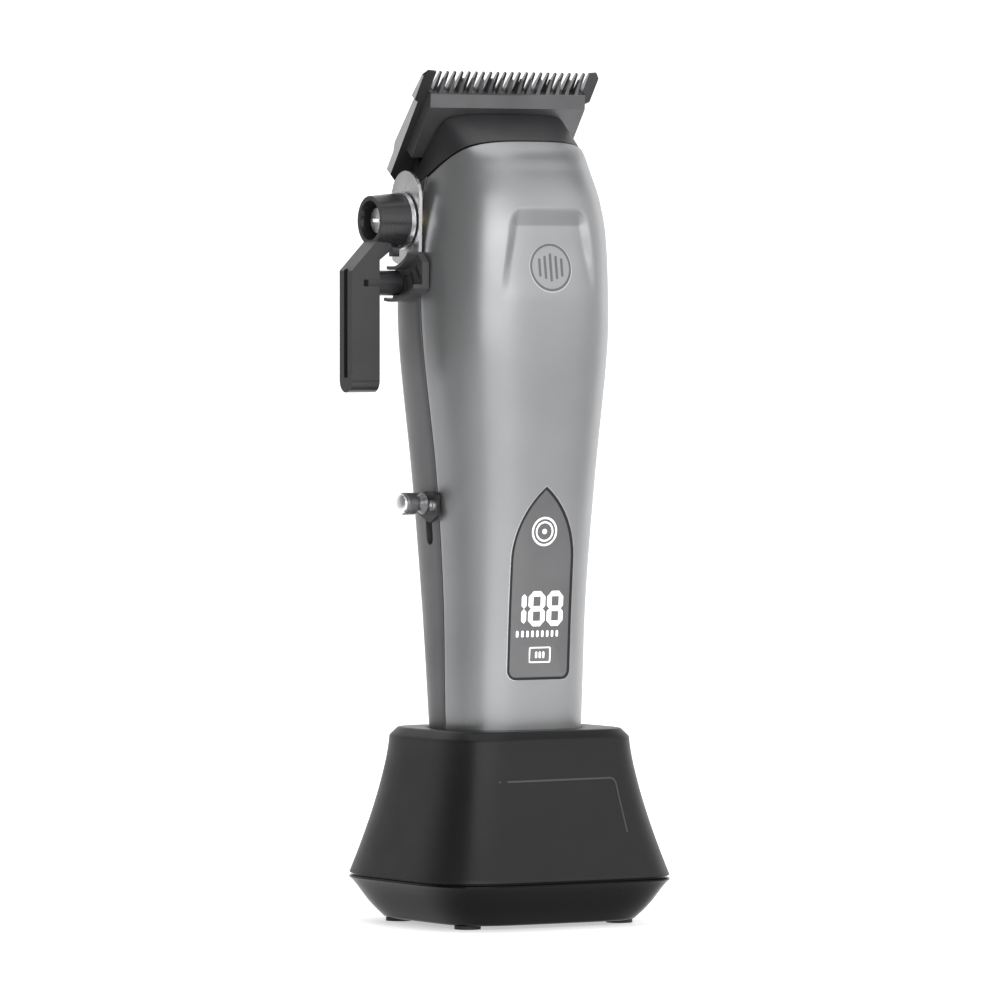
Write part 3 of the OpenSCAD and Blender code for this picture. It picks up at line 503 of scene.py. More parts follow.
def bare_ends(mat, colour, edge=0.85):
    """Show bare ground metal on the faces that look sideways, under a coated finish."""
    tree = mat.node_tree
    if "ends" in tree.nodes:
        return mat
    shader = tree.nodes["Principled BSDF"]
    coords = tree.nodes.new("ShaderNodeTexCoord")
    split = tree.nodes.new("ShaderNodeSeparateXYZ")
    tree.links.new(coords.outputs["Normal"], split.inputs["Vector"])
    size = tree.nodes.new("ShaderNodeMath")
    size.operation = "ABSOLUTE"
    tree.links.new(split.outputs["X"], size.inputs[0])
    mask = tree.nodes.new("ShaderNodeMath")
    mask.name = "ends"
    mask.operation = "GREATER_THAN"
    mask.inputs[1].default_value = edge
    tree.links.new(size.outputs["Value"], mask.inputs[0])
    mix = tree.nodes.new("ShaderNodeMix")
    mix.data_type = "RGBA"
    tree.links.new(mask.outputs["Value"], mix.inputs["Factor"])
    tree.links.new(shader.inputs["Base Color"].links[0].from_socket, mix.inputs["A"])
    mix.inputs["B"].default_value = (*colour, 1)
    tree.links.new(mix.outputs["Result"], shader.inputs["Base Color"])
    return mat


def cover_finish():
    """Fine metallic lacquer."""
    return finish("cover_metal", colours().cover, 0.8, 0.37, 9000.0, 0.000004, 0.03, coat=0.1,
                  rough_vary=0.015, coat_rough=0.3)


def housing_finish():
    """Satin dark moulding."""
    return finish("housing_dark", colours().housing, 0.35, 0.36, 5200.0, 0.00001, 0.04)


def collar_finish():
    """Matt black nylon."""
    return finish("collar_black", colours().collar, 0.0, 0.42, 4200.0, 0.000015, 0.08)


def lens_finish():
    """Smoked polycarbonate."""
    return finish("lens_grey", colours().lens, 0.0, 0.2, 900.0, 0.0000008, 0.05, coat=0.3,
                  rough_vary=0.03, coat_rough=0.08)


def stand_finish():
    """Spark-eroded matt black."""
    return finish("stand_black", colours().stand, 0.0, 0.40, 3800.0, 0.00002, 0.06, shine=0.27)


def tray_finish():
    """Polished black moulding."""
    return finish("tray_gloss", colours().tray, 0.0, 0.16, 700.0, 0.000001, 0.08, rough_vary=0.03,
                  shine=0.09)


def steel_finish():
    """Drawn and plated steel."""
    return finish("plated_steel", colours().steel, 1.0, 0.27, 1500.0, 0.000004, 0.08,
                  stretch=(1.0, 1.0, 14.0), rough_vary=0.07)


def blade_finish():
    """Ground blade steel under a black coating."""
    coated = finish("blade_black", colours().blade, 0.6, 0.34, 1800.0, 0.000004, 0.18,
                    stretch=(14.0, 1.0, 1.0), rough_vary=0.08)
    return bare_ends(coated, (0.62, 0.62, 0.63))


def dark_finish():
    """Near-black moulding for small parts."""
    return finish("dark_plastic", (0.022, 0.022, 0.024), 0.0, 0.38, 4200.0, 0.00001, 0.1)


def lever_finish():
    """Black lacquered die casting."""
    return finish("lever_black", (0.026, 0.026, 0.028), 0.2, 0.30, 3000.0, 0.000006, 0.08, coat=0.15)


def rubber_finish():
    """Matt rubber."""
    return finish("foot_rubber", (0.018, 0.018, 0.018), 0.0, 0.7, 2600.0, 0.00003, 0.12)


def brass_finish():
    """Gold flash over brass."""
    return finish("contact_brass", (0.75, 0.56, 0.26), 1.0, 0.28, 2000.0, 0.000003, 0.1)


def mark_finish():
    """Lit white marks of the display."""
    mat = finish("display_white", (0.9, 0.9, 0.9), 0.0, 0.4, 2000.0, 0.000001, 0.02)
    shader = mat.node_tree.nodes["Principled BSDF"]
    shader.inputs["Emission Color"].default_value = (1, 1, 1, 1)
    shader.inputs["Emission Strength"].default_value = 0.55
    return mat


# ---------------------------------------------------------------- grip shells
SIDE_COLS = 190
INNER_COLS = 60
PARTING_GAP = 0.15
SHELL_SHARP = 30.0


def c_shell(name, start, stop, rows, facing, carve=False):
    """Half of the grip as a C-shaped shell with rounded seam and parting edges.

    start and stop are angles in degrees; facing is -1 for the cover and +1 for the housing.
    """
    r = sizes().edge_round / MM
    gap = sizes().seam_gap / MM / 2
    arc = [math.radians(a) for a in (0, 22.5, 45, 67.5)]
    lip_in = [r * (1 - math.sin(a)) for a in arc]
    lip_out = [r * (1 - math.cos(a)) for a in arc]
    outside = np.radians(np.linspace(start, stop, SIDE_COLS))
    inside = np.radians(np.linspace(stop, start, INNER_COLS))
    angle = np.concatenate([[outside[0]] * len(arc), outside, [outside[-1]] * len(arc), inside])
    inset = np.concatenate([lip_in, np.zeros(SIDE_COLS), lip_in[::-1], np.full(INNER_COLS, WALL)])
    shift = gap + np.concatenate([lip_out, np.full(SIDE_COLS, r), lip_out[::-1], np.zeros(INNER_COLS)])
    inner = inset == WALL
    # each row: share of the height, inset of its rounded edge, and lift of the plane it lies on
    levels = [(0.0, r, 0.0)] + [(0.0, r * (1 - math.sin(a)), r * (1 - math.cos(a))) for a in arc[1:]]
    levels += [(share, 0.0, -r if share == 1 else 0.0) for share in rows]
    levels += [(1.0, r * (1 - math.cos(a)), -r * (1 - math.sin(a))) for a in arc[1:]] + [(1.0, r, 0.0)]
    rings = []
    for share, edge, lift in levels:
        inset_row = np.where(inner, inset, np.maximum(inset, edge))
        floor = level_plane(SHELL_BASE + (lift if share == 0 else 0))
        top = parting((lift if share == 1 else 0) - PARTING_GAP)
        z = settle(angle, share, inset_row, floor, top)
        x, y = skin(angle, z, inset_row)
        if carve:
            y = y + np.where(inner, 0, recess(x, z))
        rings.append(np.stack([x, y + facing * shift, z], axis=-1))
    return loft(name, rings, sharp=SHELL_SHARP)


def row_shares(dense_from=0.70, coarse=46, dense=120):
    """Row spacing: close together over the head and the thumb recess."""
    lower = np.linspace(0.004, dense_from, coarse, endpoint=False)
    return [*lower, *np.linspace(dense_from, 1, dense)]


LENS_CORNER = 2.0
ARCH_RISE = 16.8


def lens_outline(grow, steps=20):
    """Closed outline of the lens, grown, in X and Z: straight sides under a pointed arch."""
    half, corner = LENS_HALF, LENS_CORNER
    shoulder = LENS_TOP - ARCH_RISE
    radius = (ARCH_RISE * ARCH_RISE + half * half) / (2 * half)
    centre = radius - half
    reach = math.sqrt((radius + grow) ** 2 - centre * centre)
    apex = math.atan2(reach, centre)
    round_r = corner + grow
    right = [(half - corner + round_r * math.sin(a), LENS_LOW + corner - round_r * math.cos(a))
             for a in np.linspace(0, math.pi / 2, 9)]
    right += [(half + grow, z) for z in np.linspace(LENS_LOW + corner + 1, shoulder - 1, 12)]
    right += [((radius + grow) * math.cos(a) - centre, shoulder + (radius + grow) * math.sin(a))
              for a in np.linspace(0, apex, steps)]
    left = [(-x, z) for x, z in right[-2::-1]]
    return right + left


def outline_prism(name, outline, front, back):
    """Solid between two Y planes over an X-Z outline."""
    rings = [[(x, y, z) for x, z in outline] for y in (front, back)]
    return loft(name, rings)


def gap_shift():
    """How far the cover sits forward of the seam's middle."""
    return sizes().seam_gap / MM / 2 + sizes().edge_round / MM


def on_cover(x, z, lift):
    """Point over the cover's skin by lift, at X and height z."""
    return x, float(cover_y(np.array(x), np.array(z))) - gap_shift() - lift, z


def resting_on_cover(name, outlines, lift, sink):
    """Thin plates that follow the cover's curve, one for each closed X-Z outline."""
    verts, faces = [], []
    for outline in outlines:
        n = len(outline)
        base = len(verts)
        verts += [on_cover(x, z, level) for level in (lift, -sink) for x, z in outline]
        faces += [tuple(range(base, base + n)), tuple(range(base + n, base + 2 * n))]
        faces += [(base + i, base + (i + 1) % n, base + n + (i + 1) % n, base + n + i) for i in range(n)]
    return add_object(name, verts, faces)


def ring_band(outer, inner):
    """Quads, as outlines, between two equal closed outlines."""
    n = len(outer)
    return [[outer[i], outer[(i + 1) % n], inner[(i + 1) % n], inner[i]] for i in range(n)]


def band_on_cover(name, outer, inner, lift_outer, lift_inner, sink):
    """One closed ring-shaped strip on the cover between two outlines."""
    loops = ((outer, lift_outer), (inner, lift_inner), (inner, -sink), (outer, -sink))
    verts = [on_cover(x, z, lift) for outline, lift in loops for x, z in outline]
    return add_object(name, verts, grid_faces(len(loops), len(outer), wrap_rows=True))


# Clearance round the lens, and the chamfer round that, coloured lighter than the cover as a painted
# highlight
WINDOW_GAP = 0.15
RIM_WIDTH = 0.26


def build_cover():
    """Front cover with its thumb recess and display window."""
    cover = c_shell("cover_shell", 180, 360, row_shares(), -1, carve=True)
    face = front_y(LENS_TOP)
    cut_away(cover, outline_prism("window_cutter", lens_outline(WINDOW_GAP), face - 8, face + 9))
    shade(cover.data, SHELL_SHARP)
    place(cover, "clipper", cover_finish(), ["top_cover"])
    # The chamfer is real; its colour, lighter than the cover, is a painted highlight along the window's edge
    rim_highlight = finish("window_chamfer_highlight", (0.50, 0.50, 0.51), 0.9, 0.25, 6000.0, 0.000002, 0.04)
    edge = WINDOW_GAP + 0.01
    rim = band_on_cover("window_rim", lens_outline(edge + RIM_WIDTH), lens_outline(edge), 0.02, 0.01, 0.5)
    place(rim, "clipper", rim_highlight)
    # Near-black sheet under the gap round the lens: painted shade in the gap
    dark = finish("window_gap", (0.004, 0.004, 0.004), 0.0, 0.6, 3000.0, 0.00001, 0.1)
    dark_band = band_on_cover("window_gap_shade_sheet", lens_outline(WINDOW_GAP - 0.01), lens_outline(-0.42),
                         -0.06, -0.06, 1.2)
    place(dark_band, "clipper", dark)


EMBLEM_Z = HEAD_Z - 23.7
EMBLEM_R = 5.4
EMBLEM_LINE = 0.55


def circle_outline(cx, cz, r, n=64):
    """Round outline in one plane."""
    return [(cx + r * math.cos(a), cz + r * math.sin(a))
            for a in (2 * math.pi * i / n for i in range(n))]


def bar_outline(cx, cz, width, length, n=8):
    """Upright bar with round ends."""
    r = width / 2
    return [(cx + r * math.cos(a), cz + end * (length / 2 - r) + r * math.sin(a))
            for end, first in ((1, 0), (-1, math.pi)) for a in np.linspace(first, first + math.pi, n)]


def build_emblem():
    """Plain engraved roundel in the thumb recess: a ring round five comb bars, drawn flat, with painted
    shade in the grooves and a painted highlight on the ring's lower lip.
    """
    # The darker grey of the grooves and bars is painted shade; the lighter band under the ring is a painted
    # highlight
    painted_groove_shade = finish("engraved_groove", (0.15, 0.15, 0.155), 0.7, 0.45, 5000.0, 0.000004, 0.1)
    lit = finish("engraved_lip_highlight", (0.50, 0.50, 0.515), 0.8, 0.3, 5000.0, 0.000004, 0.05)
    outer = circle_outline(0, EMBLEM_Z, EMBLEM_R)
    inner = circle_outline(0, EMBLEM_Z, EMBLEM_R - EMBLEM_LINE)
    place(band_on_cover("emblem_ring", outer, inner, 0.02, 0.02, 0.4), "clipper", painted_groove_shade)
    lip = circle_outline(0, EMBLEM_Z - 0.12, EMBLEM_R + 0.18)
    lip_inner = circle_outline(0, EMBLEM_Z - 0.06, EMBLEM_R)
    place(band_on_cover("emblem_lip_highlight", lip, lip_inner, 0.015, 0.015, 0.4), "clipper", lit)
    pitch, width, tallest, step = 1.45, 0.62, 6.4, 1.1
    bars = [bar_outline(pitch * k, EMBLEM_Z, width, tallest - step * abs(k)) for k in range(-2, 3)]
    place(resting_on_cover("emblem_bars", bars, 0.02, 0.4), "clipper", painted_groove_shade)


SLOT_HALF = 1.4
SLOT_ABOVE = 1.2
SLOT_BELOW = 8.0
BUSH_HOLE_R = 4.2


def build_housing():
    """Rear housing with the switch slot, and the pads under the lever and detent plates."""
    housing = c_shell("housing_shell", 0, 180, row_shares(0.8, 60, 60), 1)
    knob_y, knob_z = middle("switch_knob", 1), middle("switch_knob", 2)
    slot = [(knob_y + SLOT_HALF * math.cos(a), end + SLOT_HALF * math.sin(a))
            for first, end in ((0, knob_z + SLOT_ABOVE), (math.pi, knob_z - SLOT_BELOW))
            for a in np.linspace(first, first + math.pi, 13)]
    through = (-BODY_HALF - 5, -BODY_HALF + 9)
    cut_away(housing, loft("slot_cutter", [[(x, y, z) for y, z in slot] for x in through]))
    bush = [tube_ring(x, BUSH_HOLE_R, LEVER_Y, LEVER_Z, 48) for x in through]
    cut_away(housing, loft("bush_cutter", bush))
    shade(housing.data, SHELL_SHARP)
    place(housing, "clipper", housing_finish(), ["lower_housing"])
    build_pads()


def build_pads():
    """Raised pads of the housing that the lever plate and the detent plate sit on."""
    inner, outer = -half_w(LEVER_Z) + 1.2, high("lever_plate", 0)
    front, back, below, above = -3.2, 4.4, -9.0, 7.0
    lever_pad = [(LEVER_Y + y, LEVER_Z + z)
                 for y, z in ((front, below), (back, below), (back, above), (front, above))]
    near_r, far_r = 10.5, LEVER_Z - low("detent_plate", 2)
    pad_edge = 0.0002
    sweep = [math.radians(a) for a in np.linspace(-118, -80, 16)]
    detent_pad = [(LEVER_Y + r * math.cos(a), LEVER_Z + r * math.sin(a))
                  for r, angles in ((far_r, sweep), (near_r, sweep[::-1])) for a in angles]
    for name, outline in (("lever_pad", lever_pad), ("detent_pad", detent_pad)):
        pad = loft(name, [[(x, y, z) for y, z in outline] for x in (outer, inner)])
        soften(pad, pad_edge)
        place(pad, "clipper", housing_finish())


def build_gasket():
    """Dark seal along both seams, filling the gap between the shells."""
    shares = np.linspace(0, 1, 90)
    gap = sizes().seam_gap / MM / 2
    outer_inset, inner_inset, seal_inset = 0.75, 2.0, 0.9
    section = ((outer_inset, -gap - 0.3), (outer_inset, gap + 0.3),
               (inner_inset, gap + 0.02), (inner_inset, -gap - 0.02))
    verts, faces = [], []
    for side, edge_angle in ((1, 0.0), (-1, math.pi)):
        base, n = len(verts), len(shares)
        for share in shares:
            z = float(settle(np.array(edge_angle), share, np.array(seal_inset), level_plane(SHELL_BASE),
                             parting(-0.4)))
            verts += [(side * (float(half_w(z)) - inset), float(seam_y(z)) + dy, z) for inset, dy in section]
        faces += [tuple(base + k for k in f) for f in grid_faces(n, 4)]
        faces += [tuple(range(base, base + 4)), tuple(range(base + 4 * n - 4, base + 4 * n))]
    dark_band = add_object("seam_seal", verts, faces)
    place(dark_band, "clipper", rubber_finish(), ["seam_gasket"])


def build_lens():
    """Smoked lens, curved with the cover and rounded at its edge."""
    outline = lens_outline(-0.02, steps=28)
    centre = 0.5 * (LENS_LOW + LENS_TOP)
    sink = sizes().lens_sink / MM
    levels = [(1.0, 1.6)] + [(1.0 - 0.012 * (1 - math.cos(a)), 0.25 * (1 - math.sin(a)))
                             for a in np.linspace(0, math.pi / 2, 5)]
    levels += [(s, 0.0) for s in np.linspace(0.94, 0.04, 16)]
    rings = [[on_cover(x * scale, centre + (z - centre) * scale, -sink - drop) for x, z in outline]
             for scale, drop in levels]
    lens = loft("lens", rings, sharp=50.0)
    place(lens, "clipper", lens_finish(), ["display_lens"])


def segment(cx, cz, width, length, upright):
    """One six-sided bar of a seven-segment digit."""
    w, h = width / 2, length / 2
    shape = [(0, h), (w, h - w), (w, w - h), (0, -h), (-w, w - h), (-w, h - w)]
    return [(cx + x, cz + z) if upright else (cx + z, cz + x) for x, z in shape]


LIT = {"1": "bc", "8": "abcdefg"}


def digit(cx, cz, width, height, stroke, lit):
    """Lit bars of one digit, as outlines."""
    half, quarter = width / 2, height / 4
    long, wide = height / 2 - 0.12, width - 0.12
    bars = {
        "a": (cx, cz + height / 2, wide, False), "b": (cx + half, cz + quarter, long, True),
        "c": (cx + half, cz - quarter, long, True), "d": (cx, cz - height / 2, wide, False),
        "e": (cx - half, cz - quarter, long, True), "f": (cx - half, cz + quarter, long, True),
        "g": (cx, cz, wide, False)}
    return [segment(bars[k][0], bars[k][1], stroke, bars[k][2], bars[k][3]) for k in lit]


def build_marks():
    """Lit marks of the display: a double ring, a battery percentage, a bar row and a charging sign."""
    down = sizes().lens_sink / MM - sizes().mark_lift / MM
    ring_z, digit_z = LENS_TOP - 10.0, LENS_LOW + 16.0
    bar_z, badge_z = LENS_LOW + 10.3, LENS_LOW + 5.5
    marks = []
    for outer, inner in ((3.3, 2.85), (2.3, 1.9)):
        marks += ring_band(circle_outline(0, ring_z, outer, 48), circle_outline(0, ring_z, inner, 48))
    marks.append(circle_outline(0, ring_z, 0.6, 20))
    height, width, stroke = 6.75, 3.15, 1.2
    for x, figure in ((-6.1, "1"), (-1.2, "8"), (3.65, "8")):
        marks += digit(x, digit_z, width, height, stroke, LIT[figure])
    marks += [bar_outline(-6.0 + 1.3 * k, bar_z, 0.6, 1.5) for k in range(9)]
    badge_half, badge_high, line = 2.85, 1.8, 0.3

    def rounded(w, h, r):
        corners = ((1, 1, 0), (-1, 1, 90), (-1, -1, 180), (1, -1, 270))
        return [(sx * (w - r) + r * math.cos(math.radians(start + a)),
                 badge_z + sz * (h - r) + r * math.sin(math.radians(start + a)))
                for sx, sz, start in corners for a in (0, 30, 60, 90)]
    marks += ring_band(rounded(badge_half, badge_high, 0.4),
                       rounded(badge_half - line, badge_high - line, 0.2))
    marks += [bar_outline(0.95 * k, badge_z, 0.5, 1.5) for k in (-1, 0, 1)]
    lit = resting_on_cover("display_marks", marks, -down, down + 0.4)
    place(lit, "clipper", mark_finish())


# ---------------------------------------------------------------- head
def blade_plane(y, w):
    """Height over Y of the plane that lies w outside the blade's inner face."""
    return TIP_Z + (w - (y - TIP_Y) * math.cos(BLADE_LEAN)) / math.sin(BLADE_LEAN)


def along_blade(y, z):
    """Distance down the blade from its tips."""
    return (y - TIP_Y) * math.sin(BLADE_LEAN) - (z - TIP_Z) * math.cos(BLADE_LEAN)


def blade_point(x, u, w):
    """Point that lies u down the blade from its tips and w outside its inner face."""
    return (x, TIP_Y + u * math.sin(BLADE_LEAN) + w * math.cos(BLADE_LEAN),
            TIP_Z - u * math.cos(BLADE_LEAN) + w * math.sin(BLADE_LEAN))


# The cutter's bed lies under the blade's inner face as far down the blade as its step
BED_DEPTH = 3.2
BED_STEP = 23.9
COLLAR_RIM = 3.2
COLLAR_FOOT = -2.0
LIP_ROUND = 0.45
SEAT_HALF = 14.6
SEAT_START = 25.4
SEAT_END = 32.3


def build_collar():
    """Black nose collar, rounded at its lip, with the seat that the blade is screwed to."""
    cols = 240
    angle = np.radians(np.linspace(0, 360, cols, endpoint=False))
    foot_round, foot_gap = 0.3, PARTING_GAP
    arc = [math.radians(a) for a in (0, 30, 60, 90)]
    rings = []

    def lip(y):
        bed, face = blade_plane(y, -BED_DEPTH), blade_plane(y, 0.0)
        return np.where(along_blade(y, face) < BED_STEP, bed, face)

    def ring(share, inset, floor_lift, drop=0.0):
        inset_row = np.full(cols, inset)
        z = settle(angle, share, inset_row, parting(floor_lift), lambda y: lip(y) - drop)
        x, y = skin(angle, z, inset_row)
        rings.append(np.stack([x, y, z], axis=-1))

    for a in arc[:-1]:
        ring(0.0, foot_round * (1 - math.sin(a)), foot_gap + foot_round * (1 - math.cos(a)))
    for share in np.linspace(0.02, 1, 26):
        ring(share, 0.0, foot_gap + foot_round, LIP_ROUND)
    for a in arc[1:]:
        ring(1.0, LIP_ROUND * (1 - math.cos(a)), foot_gap + foot_round, LIP_ROUND * (1 - math.sin(a)))
    ring(1.0, COLLAR_RIM, foot_gap + foot_round)
    ring(0.0, COLLAR_RIM, COLLAR_FOOT)
    ring(0.0, WALL + 0.1, COLLAR_FOOT)
    ring(0.0, WALL + 0.1, foot_gap)
    collar = loft("nose_collar", rings, looped=True, sharp=42.0)
    place(collar, "clipper", collar_finish(), ["head_collar"])
    seat = []
    for w, tuck in ((-3.0, 0.0), (-0.25, 0.0), (-0.02, 0.2)):
        half = SEAT_HALF - tuck
        corners = ((-half, SEAT_START), (half, SEAT_START), (half, SEAT_END), (-half, SEAT_END))
        seat.append([blade_point(x, u, w) for x, u in corners])
    place(loft("blade_seat", seat), "clipper", collar_finish())


# ---------------------------------------------------------------- stand
STAND_X = high("stand_shell", 0)
STAND_Y = high("stand_shell", 1)
STAND_LOW = low("stand_shell", 2)
STAND_TOP = high("stand_shell", 2)
FLARE = 7.7
FLARE_POWER = 1.4
STAND_POWER = 5.0
WELL_GAP = 0.7
SHOULDER = STAND_TOP - 1.9
SEAM = STAND_LOW - 0.4


def flare_at(z):
    """How far the stand's side has spread at a height."""
    rise = SHOULDER - STAND_LOW
    return FLARE * max(0.0, min(1.0, (SHOULDER - z) / rise)) ** FLARE_POWER


def stand_ring(inset, z, flare, cols=240):
    """Rounded-square ring of the stand."""
    a = np.radians(np.linspace(0, 360, cols, endpoint=False))
    c, s = np.cos(a), np.sin(a)
    x = (STAND_X - FLARE + flare - inset) * np.sign(c) * np.abs(c) ** (2 / STAND_POWER)
    y = (STAND_Y - FLARE + flare - inset) * np.sign(s) * np.abs(s) ** (2 / STAND_POWER)
    return np.stack([x, y, np.full(cols, z)], axis=-1)


def grip_ring(grow, z, cols=240):
    """Ring round the grip's section, grown."""
    a = np.radians(np.linspace(0, 360, cols, endpoint=False))
    x, y = skin(a, np.full(cols, max(z, BODY_BASE)), np.full(cols, -grow))
    return np.stack([x, y, np.full(cols, z)], axis=-1)


def build_stand():
    """Flared shell of the stand, with a crisp shoulder and the well for the grip."""
    rings = [stand_ring(0.35, STAND_LOW, flare_at(STAND_LOW)), stand_ring(0.1, STAND_LOW + 0.1, FLARE)]
    rings += [stand_ring(0.0, z, flare_at(z)) for z in np.linspace(STAND_LOW + 0.35, SHOULDER - 0.3, 44)]
    rings += [stand_ring(0.06, SHOULDER, 0.0), stand_ring(0.22, SHOULDER + 0.25, 0.0)]
    rings += [stand_ring(1.35, STAND_TOP - 0.35, 0.0), stand_ring(1.6, STAND_TOP - 0.08, 0.0),
              stand_ring(1.95, STAND_TOP, 0.0)]
    rings += [grip_ring(WELL_GAP + 0.9, STAND_TOP), grip_ring(WELL_GAP + 0.45, STAND_TOP - 0.12),
              grip_ring(WELL_GAP + 0.1, STAND_TOP - 0.5), grip_ring(WELL_GAP, STAND_TOP - 1.0)]
    foot = BODY_BASE - 2
    rings += [grip_ring(WELL_GAP, z) for z in np.linspace(STAND_TOP - 3, foot, 6)]
    rings += [grip_ring(WELL_GAP + 1.8, foot), grip_ring(WELL_GAP + 1.8, SHOULDER - 1.5)]
    rings += [stand_ring(WALL, z, flare_at(z)) for z in np.linspace(SHOULDER - 2, STAND_LOW, 20)]
    shell = loft("stand_housing", rings, looped=True, sharp=50.0)
    place(shell, "stand", stand_finish(), ["stand_shell"])


TRAY_LOW = low("stand_tray", 2)
TRAY_INSET = 6.3
INLET_HALF = 2.9
INLET_ROUND = 1.6
INLET_DEEP_Y = 14.0
SCREW_X = 12.0
SCREW_Y = 7.5
SCREW_HOLE_R = 2.6


def build_tray():
    """Polished tray under the stand's seam, turned in to its underside."""
    profile = [(TRAY_INSET + 2.2, TRAY_LOW), (TRAY_INSET + 1.0, TRAY_LOW + 0.06),
               (TRAY_INSET + 0.35, TRAY_LOW + 0.3)]
    side_low, side_top = TRAY_LOW + 0.7, SEAM - 0.5
    for t in np.linspace(0, 1, 26):
        curve = TRAY_INSET * (1 - t) ** 0.92 * (1 - 0.12 * math.sin(math.pi * t))
        profile.append((curve, side_low + (side_top - side_low) * t))
    tuck, foot = STAND_LOW - 0.02, STAND_LOW + 1.6
    profile += [(0.06, SEAM - 0.2), (0.3, SEAM), (0.8, SEAM), (0.8, tuck), (WALL + 0.1, tuck),
                (WALL + 0.6, foot), (WALL + 1.6, foot), (TRAY_INSET + 3, TRAY_LOW + 2.4)]
    tray = loft("stand_base", [stand_ring(inset, z, FLARE) for inset, z in profile], sharp=45.0)
    inlet_z = middle("stand_inlet", 2)
    mouth = [(INLET_HALF + INLET_ROUND * math.cos(a), inlet_z + INLET_ROUND * math.sin(a))
             for a in np.linspace(-math.pi / 2, math.pi / 2, 13)]
    mouth += [(-x, 2 * inlet_z - z) for x, z in mouth]
    cut_away(tray, outline_prism("inlet_cutter", mouth, INLET_DEEP_Y, STAND_Y + 4))
    for sx in (-1, 1):
        for sy in (-1, 1):
            rim = circle_outline(SCREW_X * sx, SCREW_Y * sy, SCREW_HOLE_R, 32)
            cut_away(tray, loft("screw_cutter", [[(x, y, z) for x, y in rim] for z in (-1.0, 2.0)]))
    shade(tray.data, 40.0)
    place(tray, "stand", tray_finish(), ["stand_tray"])


LINE_LEFT = -16.0
LINE_RIGHT = 13.0
LINE_TOP = 33.5
LINE_SLOPE = 0.2
LINE_WIDTH = 0.4
LINE_CORNER = 1.7


def build_stand_panel():
    """Plain engraved frame line on the front of the stand."""
    dark = finish("engraved_black", (0.035, 0.035, 0.036), 0.0, 0.45, 3000.0, 0.000005, 0.1)

    def face_y(x, z):
        half_x, half_y = STAND_X - FLARE + flare_at(z), STAND_Y - FLARE + flare_at(z)
        return -half_y * max(0.0, 1 - abs(x / half_x) ** STAND_POWER) ** (1 / STAND_POWER)

    length = LINE_RIGHT - LINE_LEFT
    path = [(x, LINE_TOP - LINE_SLOPE * (LINE_RIGHT - x) / length)
            for x in np.linspace(LINE_LEFT, LINE_RIGHT, 12)]
    path += [(LINE_RIGHT + LINE_CORNER * math.sin(a), LINE_TOP - LINE_CORNER * (1 - math.cos(a)))
             for a in np.linspace(0.2, math.pi / 2, 7)]
    path += [(LINE_RIGHT + 1.95, LINE_TOP - 4.0), (LINE_RIGHT + 2.35, LINE_TOP - 7.0),
             (LINE_RIGHT + 2.9, LINE_TOP - 12.2)]
    verts = []
    for i, (x, z) in enumerate(path):
        ahead = path[min(i + 1, len(path) - 1)]
        behind = path[max(i - 1, 0)]
        dx, dz = ahead[0] - behind[0], ahead[1] - behind[1]
        size = math.hypot(dx, dz)
        nx, nz = -dz / size * LINE_WIDTH / 2, dx / size * LINE_WIDTH / 2
        for side, depth in ((1, -0.02), (-1, -0.02), (-1, 0.3), (1, 0.3)):
            px, pz = x + side * nx, z + side * nz
            verts.append((px, face_y(px, pz) + depth, pz))
    n = len(path)
    faces = grid_faces(n, 4) + [tuple(range(4)), tuple(range(4 * n - 4, 4 * n))]
    place(add_object("stand_frame_line", verts, faces), "stand", dark)


# ---------------------------------------------------------------- switch and hard parts
def build_switch():
    """Ringed power knob with its silver cap."""
    y, z = middle("switch_knob", 1), middle("switch_knob", 2)
    base, out = high("switch_knob", 0), low("switch_knob", 0)
    r = 0.5 * (high("switch_knob", 1) - low("switch_knob", 1))
    foot = [(base, 0.0), (base, 2.5), (base - 0.25, 2.42), (base - 0.7, 1.98), (base - 1.1, 1.72),
            (base - 1.6, 1.6), (base - 1.9, 1.62)]
    flare = [(base - 2.12, 1.9), (base - 2.3, r - 0.2), (base - 2.5, r - 0.04)]
    rim = [(out + 1.15, r), (out + 0.95, r), (out + 0.85, r - 0.12), (out + 0.7, r - 0.12), (out + 0.6, r),
           (out + 0.2, r), (out + 0.05, r - 0.1), (out, r - 0.28), (out, 0.0)]
    grey = finish("knob_grey", (0.17, 0.17, 0.175), 0.7, 0.3, 3000.0, 0.000004, 0.06)
    place(turned("power_knob", foot + flare + rim, y, z), "power_switch", grey, ["switch_knob"])
    cap_in, cap_out = high("switch_cap", 0), low("switch_cap", 0)
    cap = [(cap_in, 0.0), (cap_in, r - 0.32), (cap_in - 0.35, r - 0.32), (cap_in - 0.52, r - 0.42),
           (cap_in - 0.68, r - 0.7), (cap_out + 0.06, r - 1.2), (cap_out, r - 1.8), (cap_out, 0.0)]
    place(turned("power_cap", cap, y, z, 50.0), "power_switch", steel_finish(), ["switch_cap"])


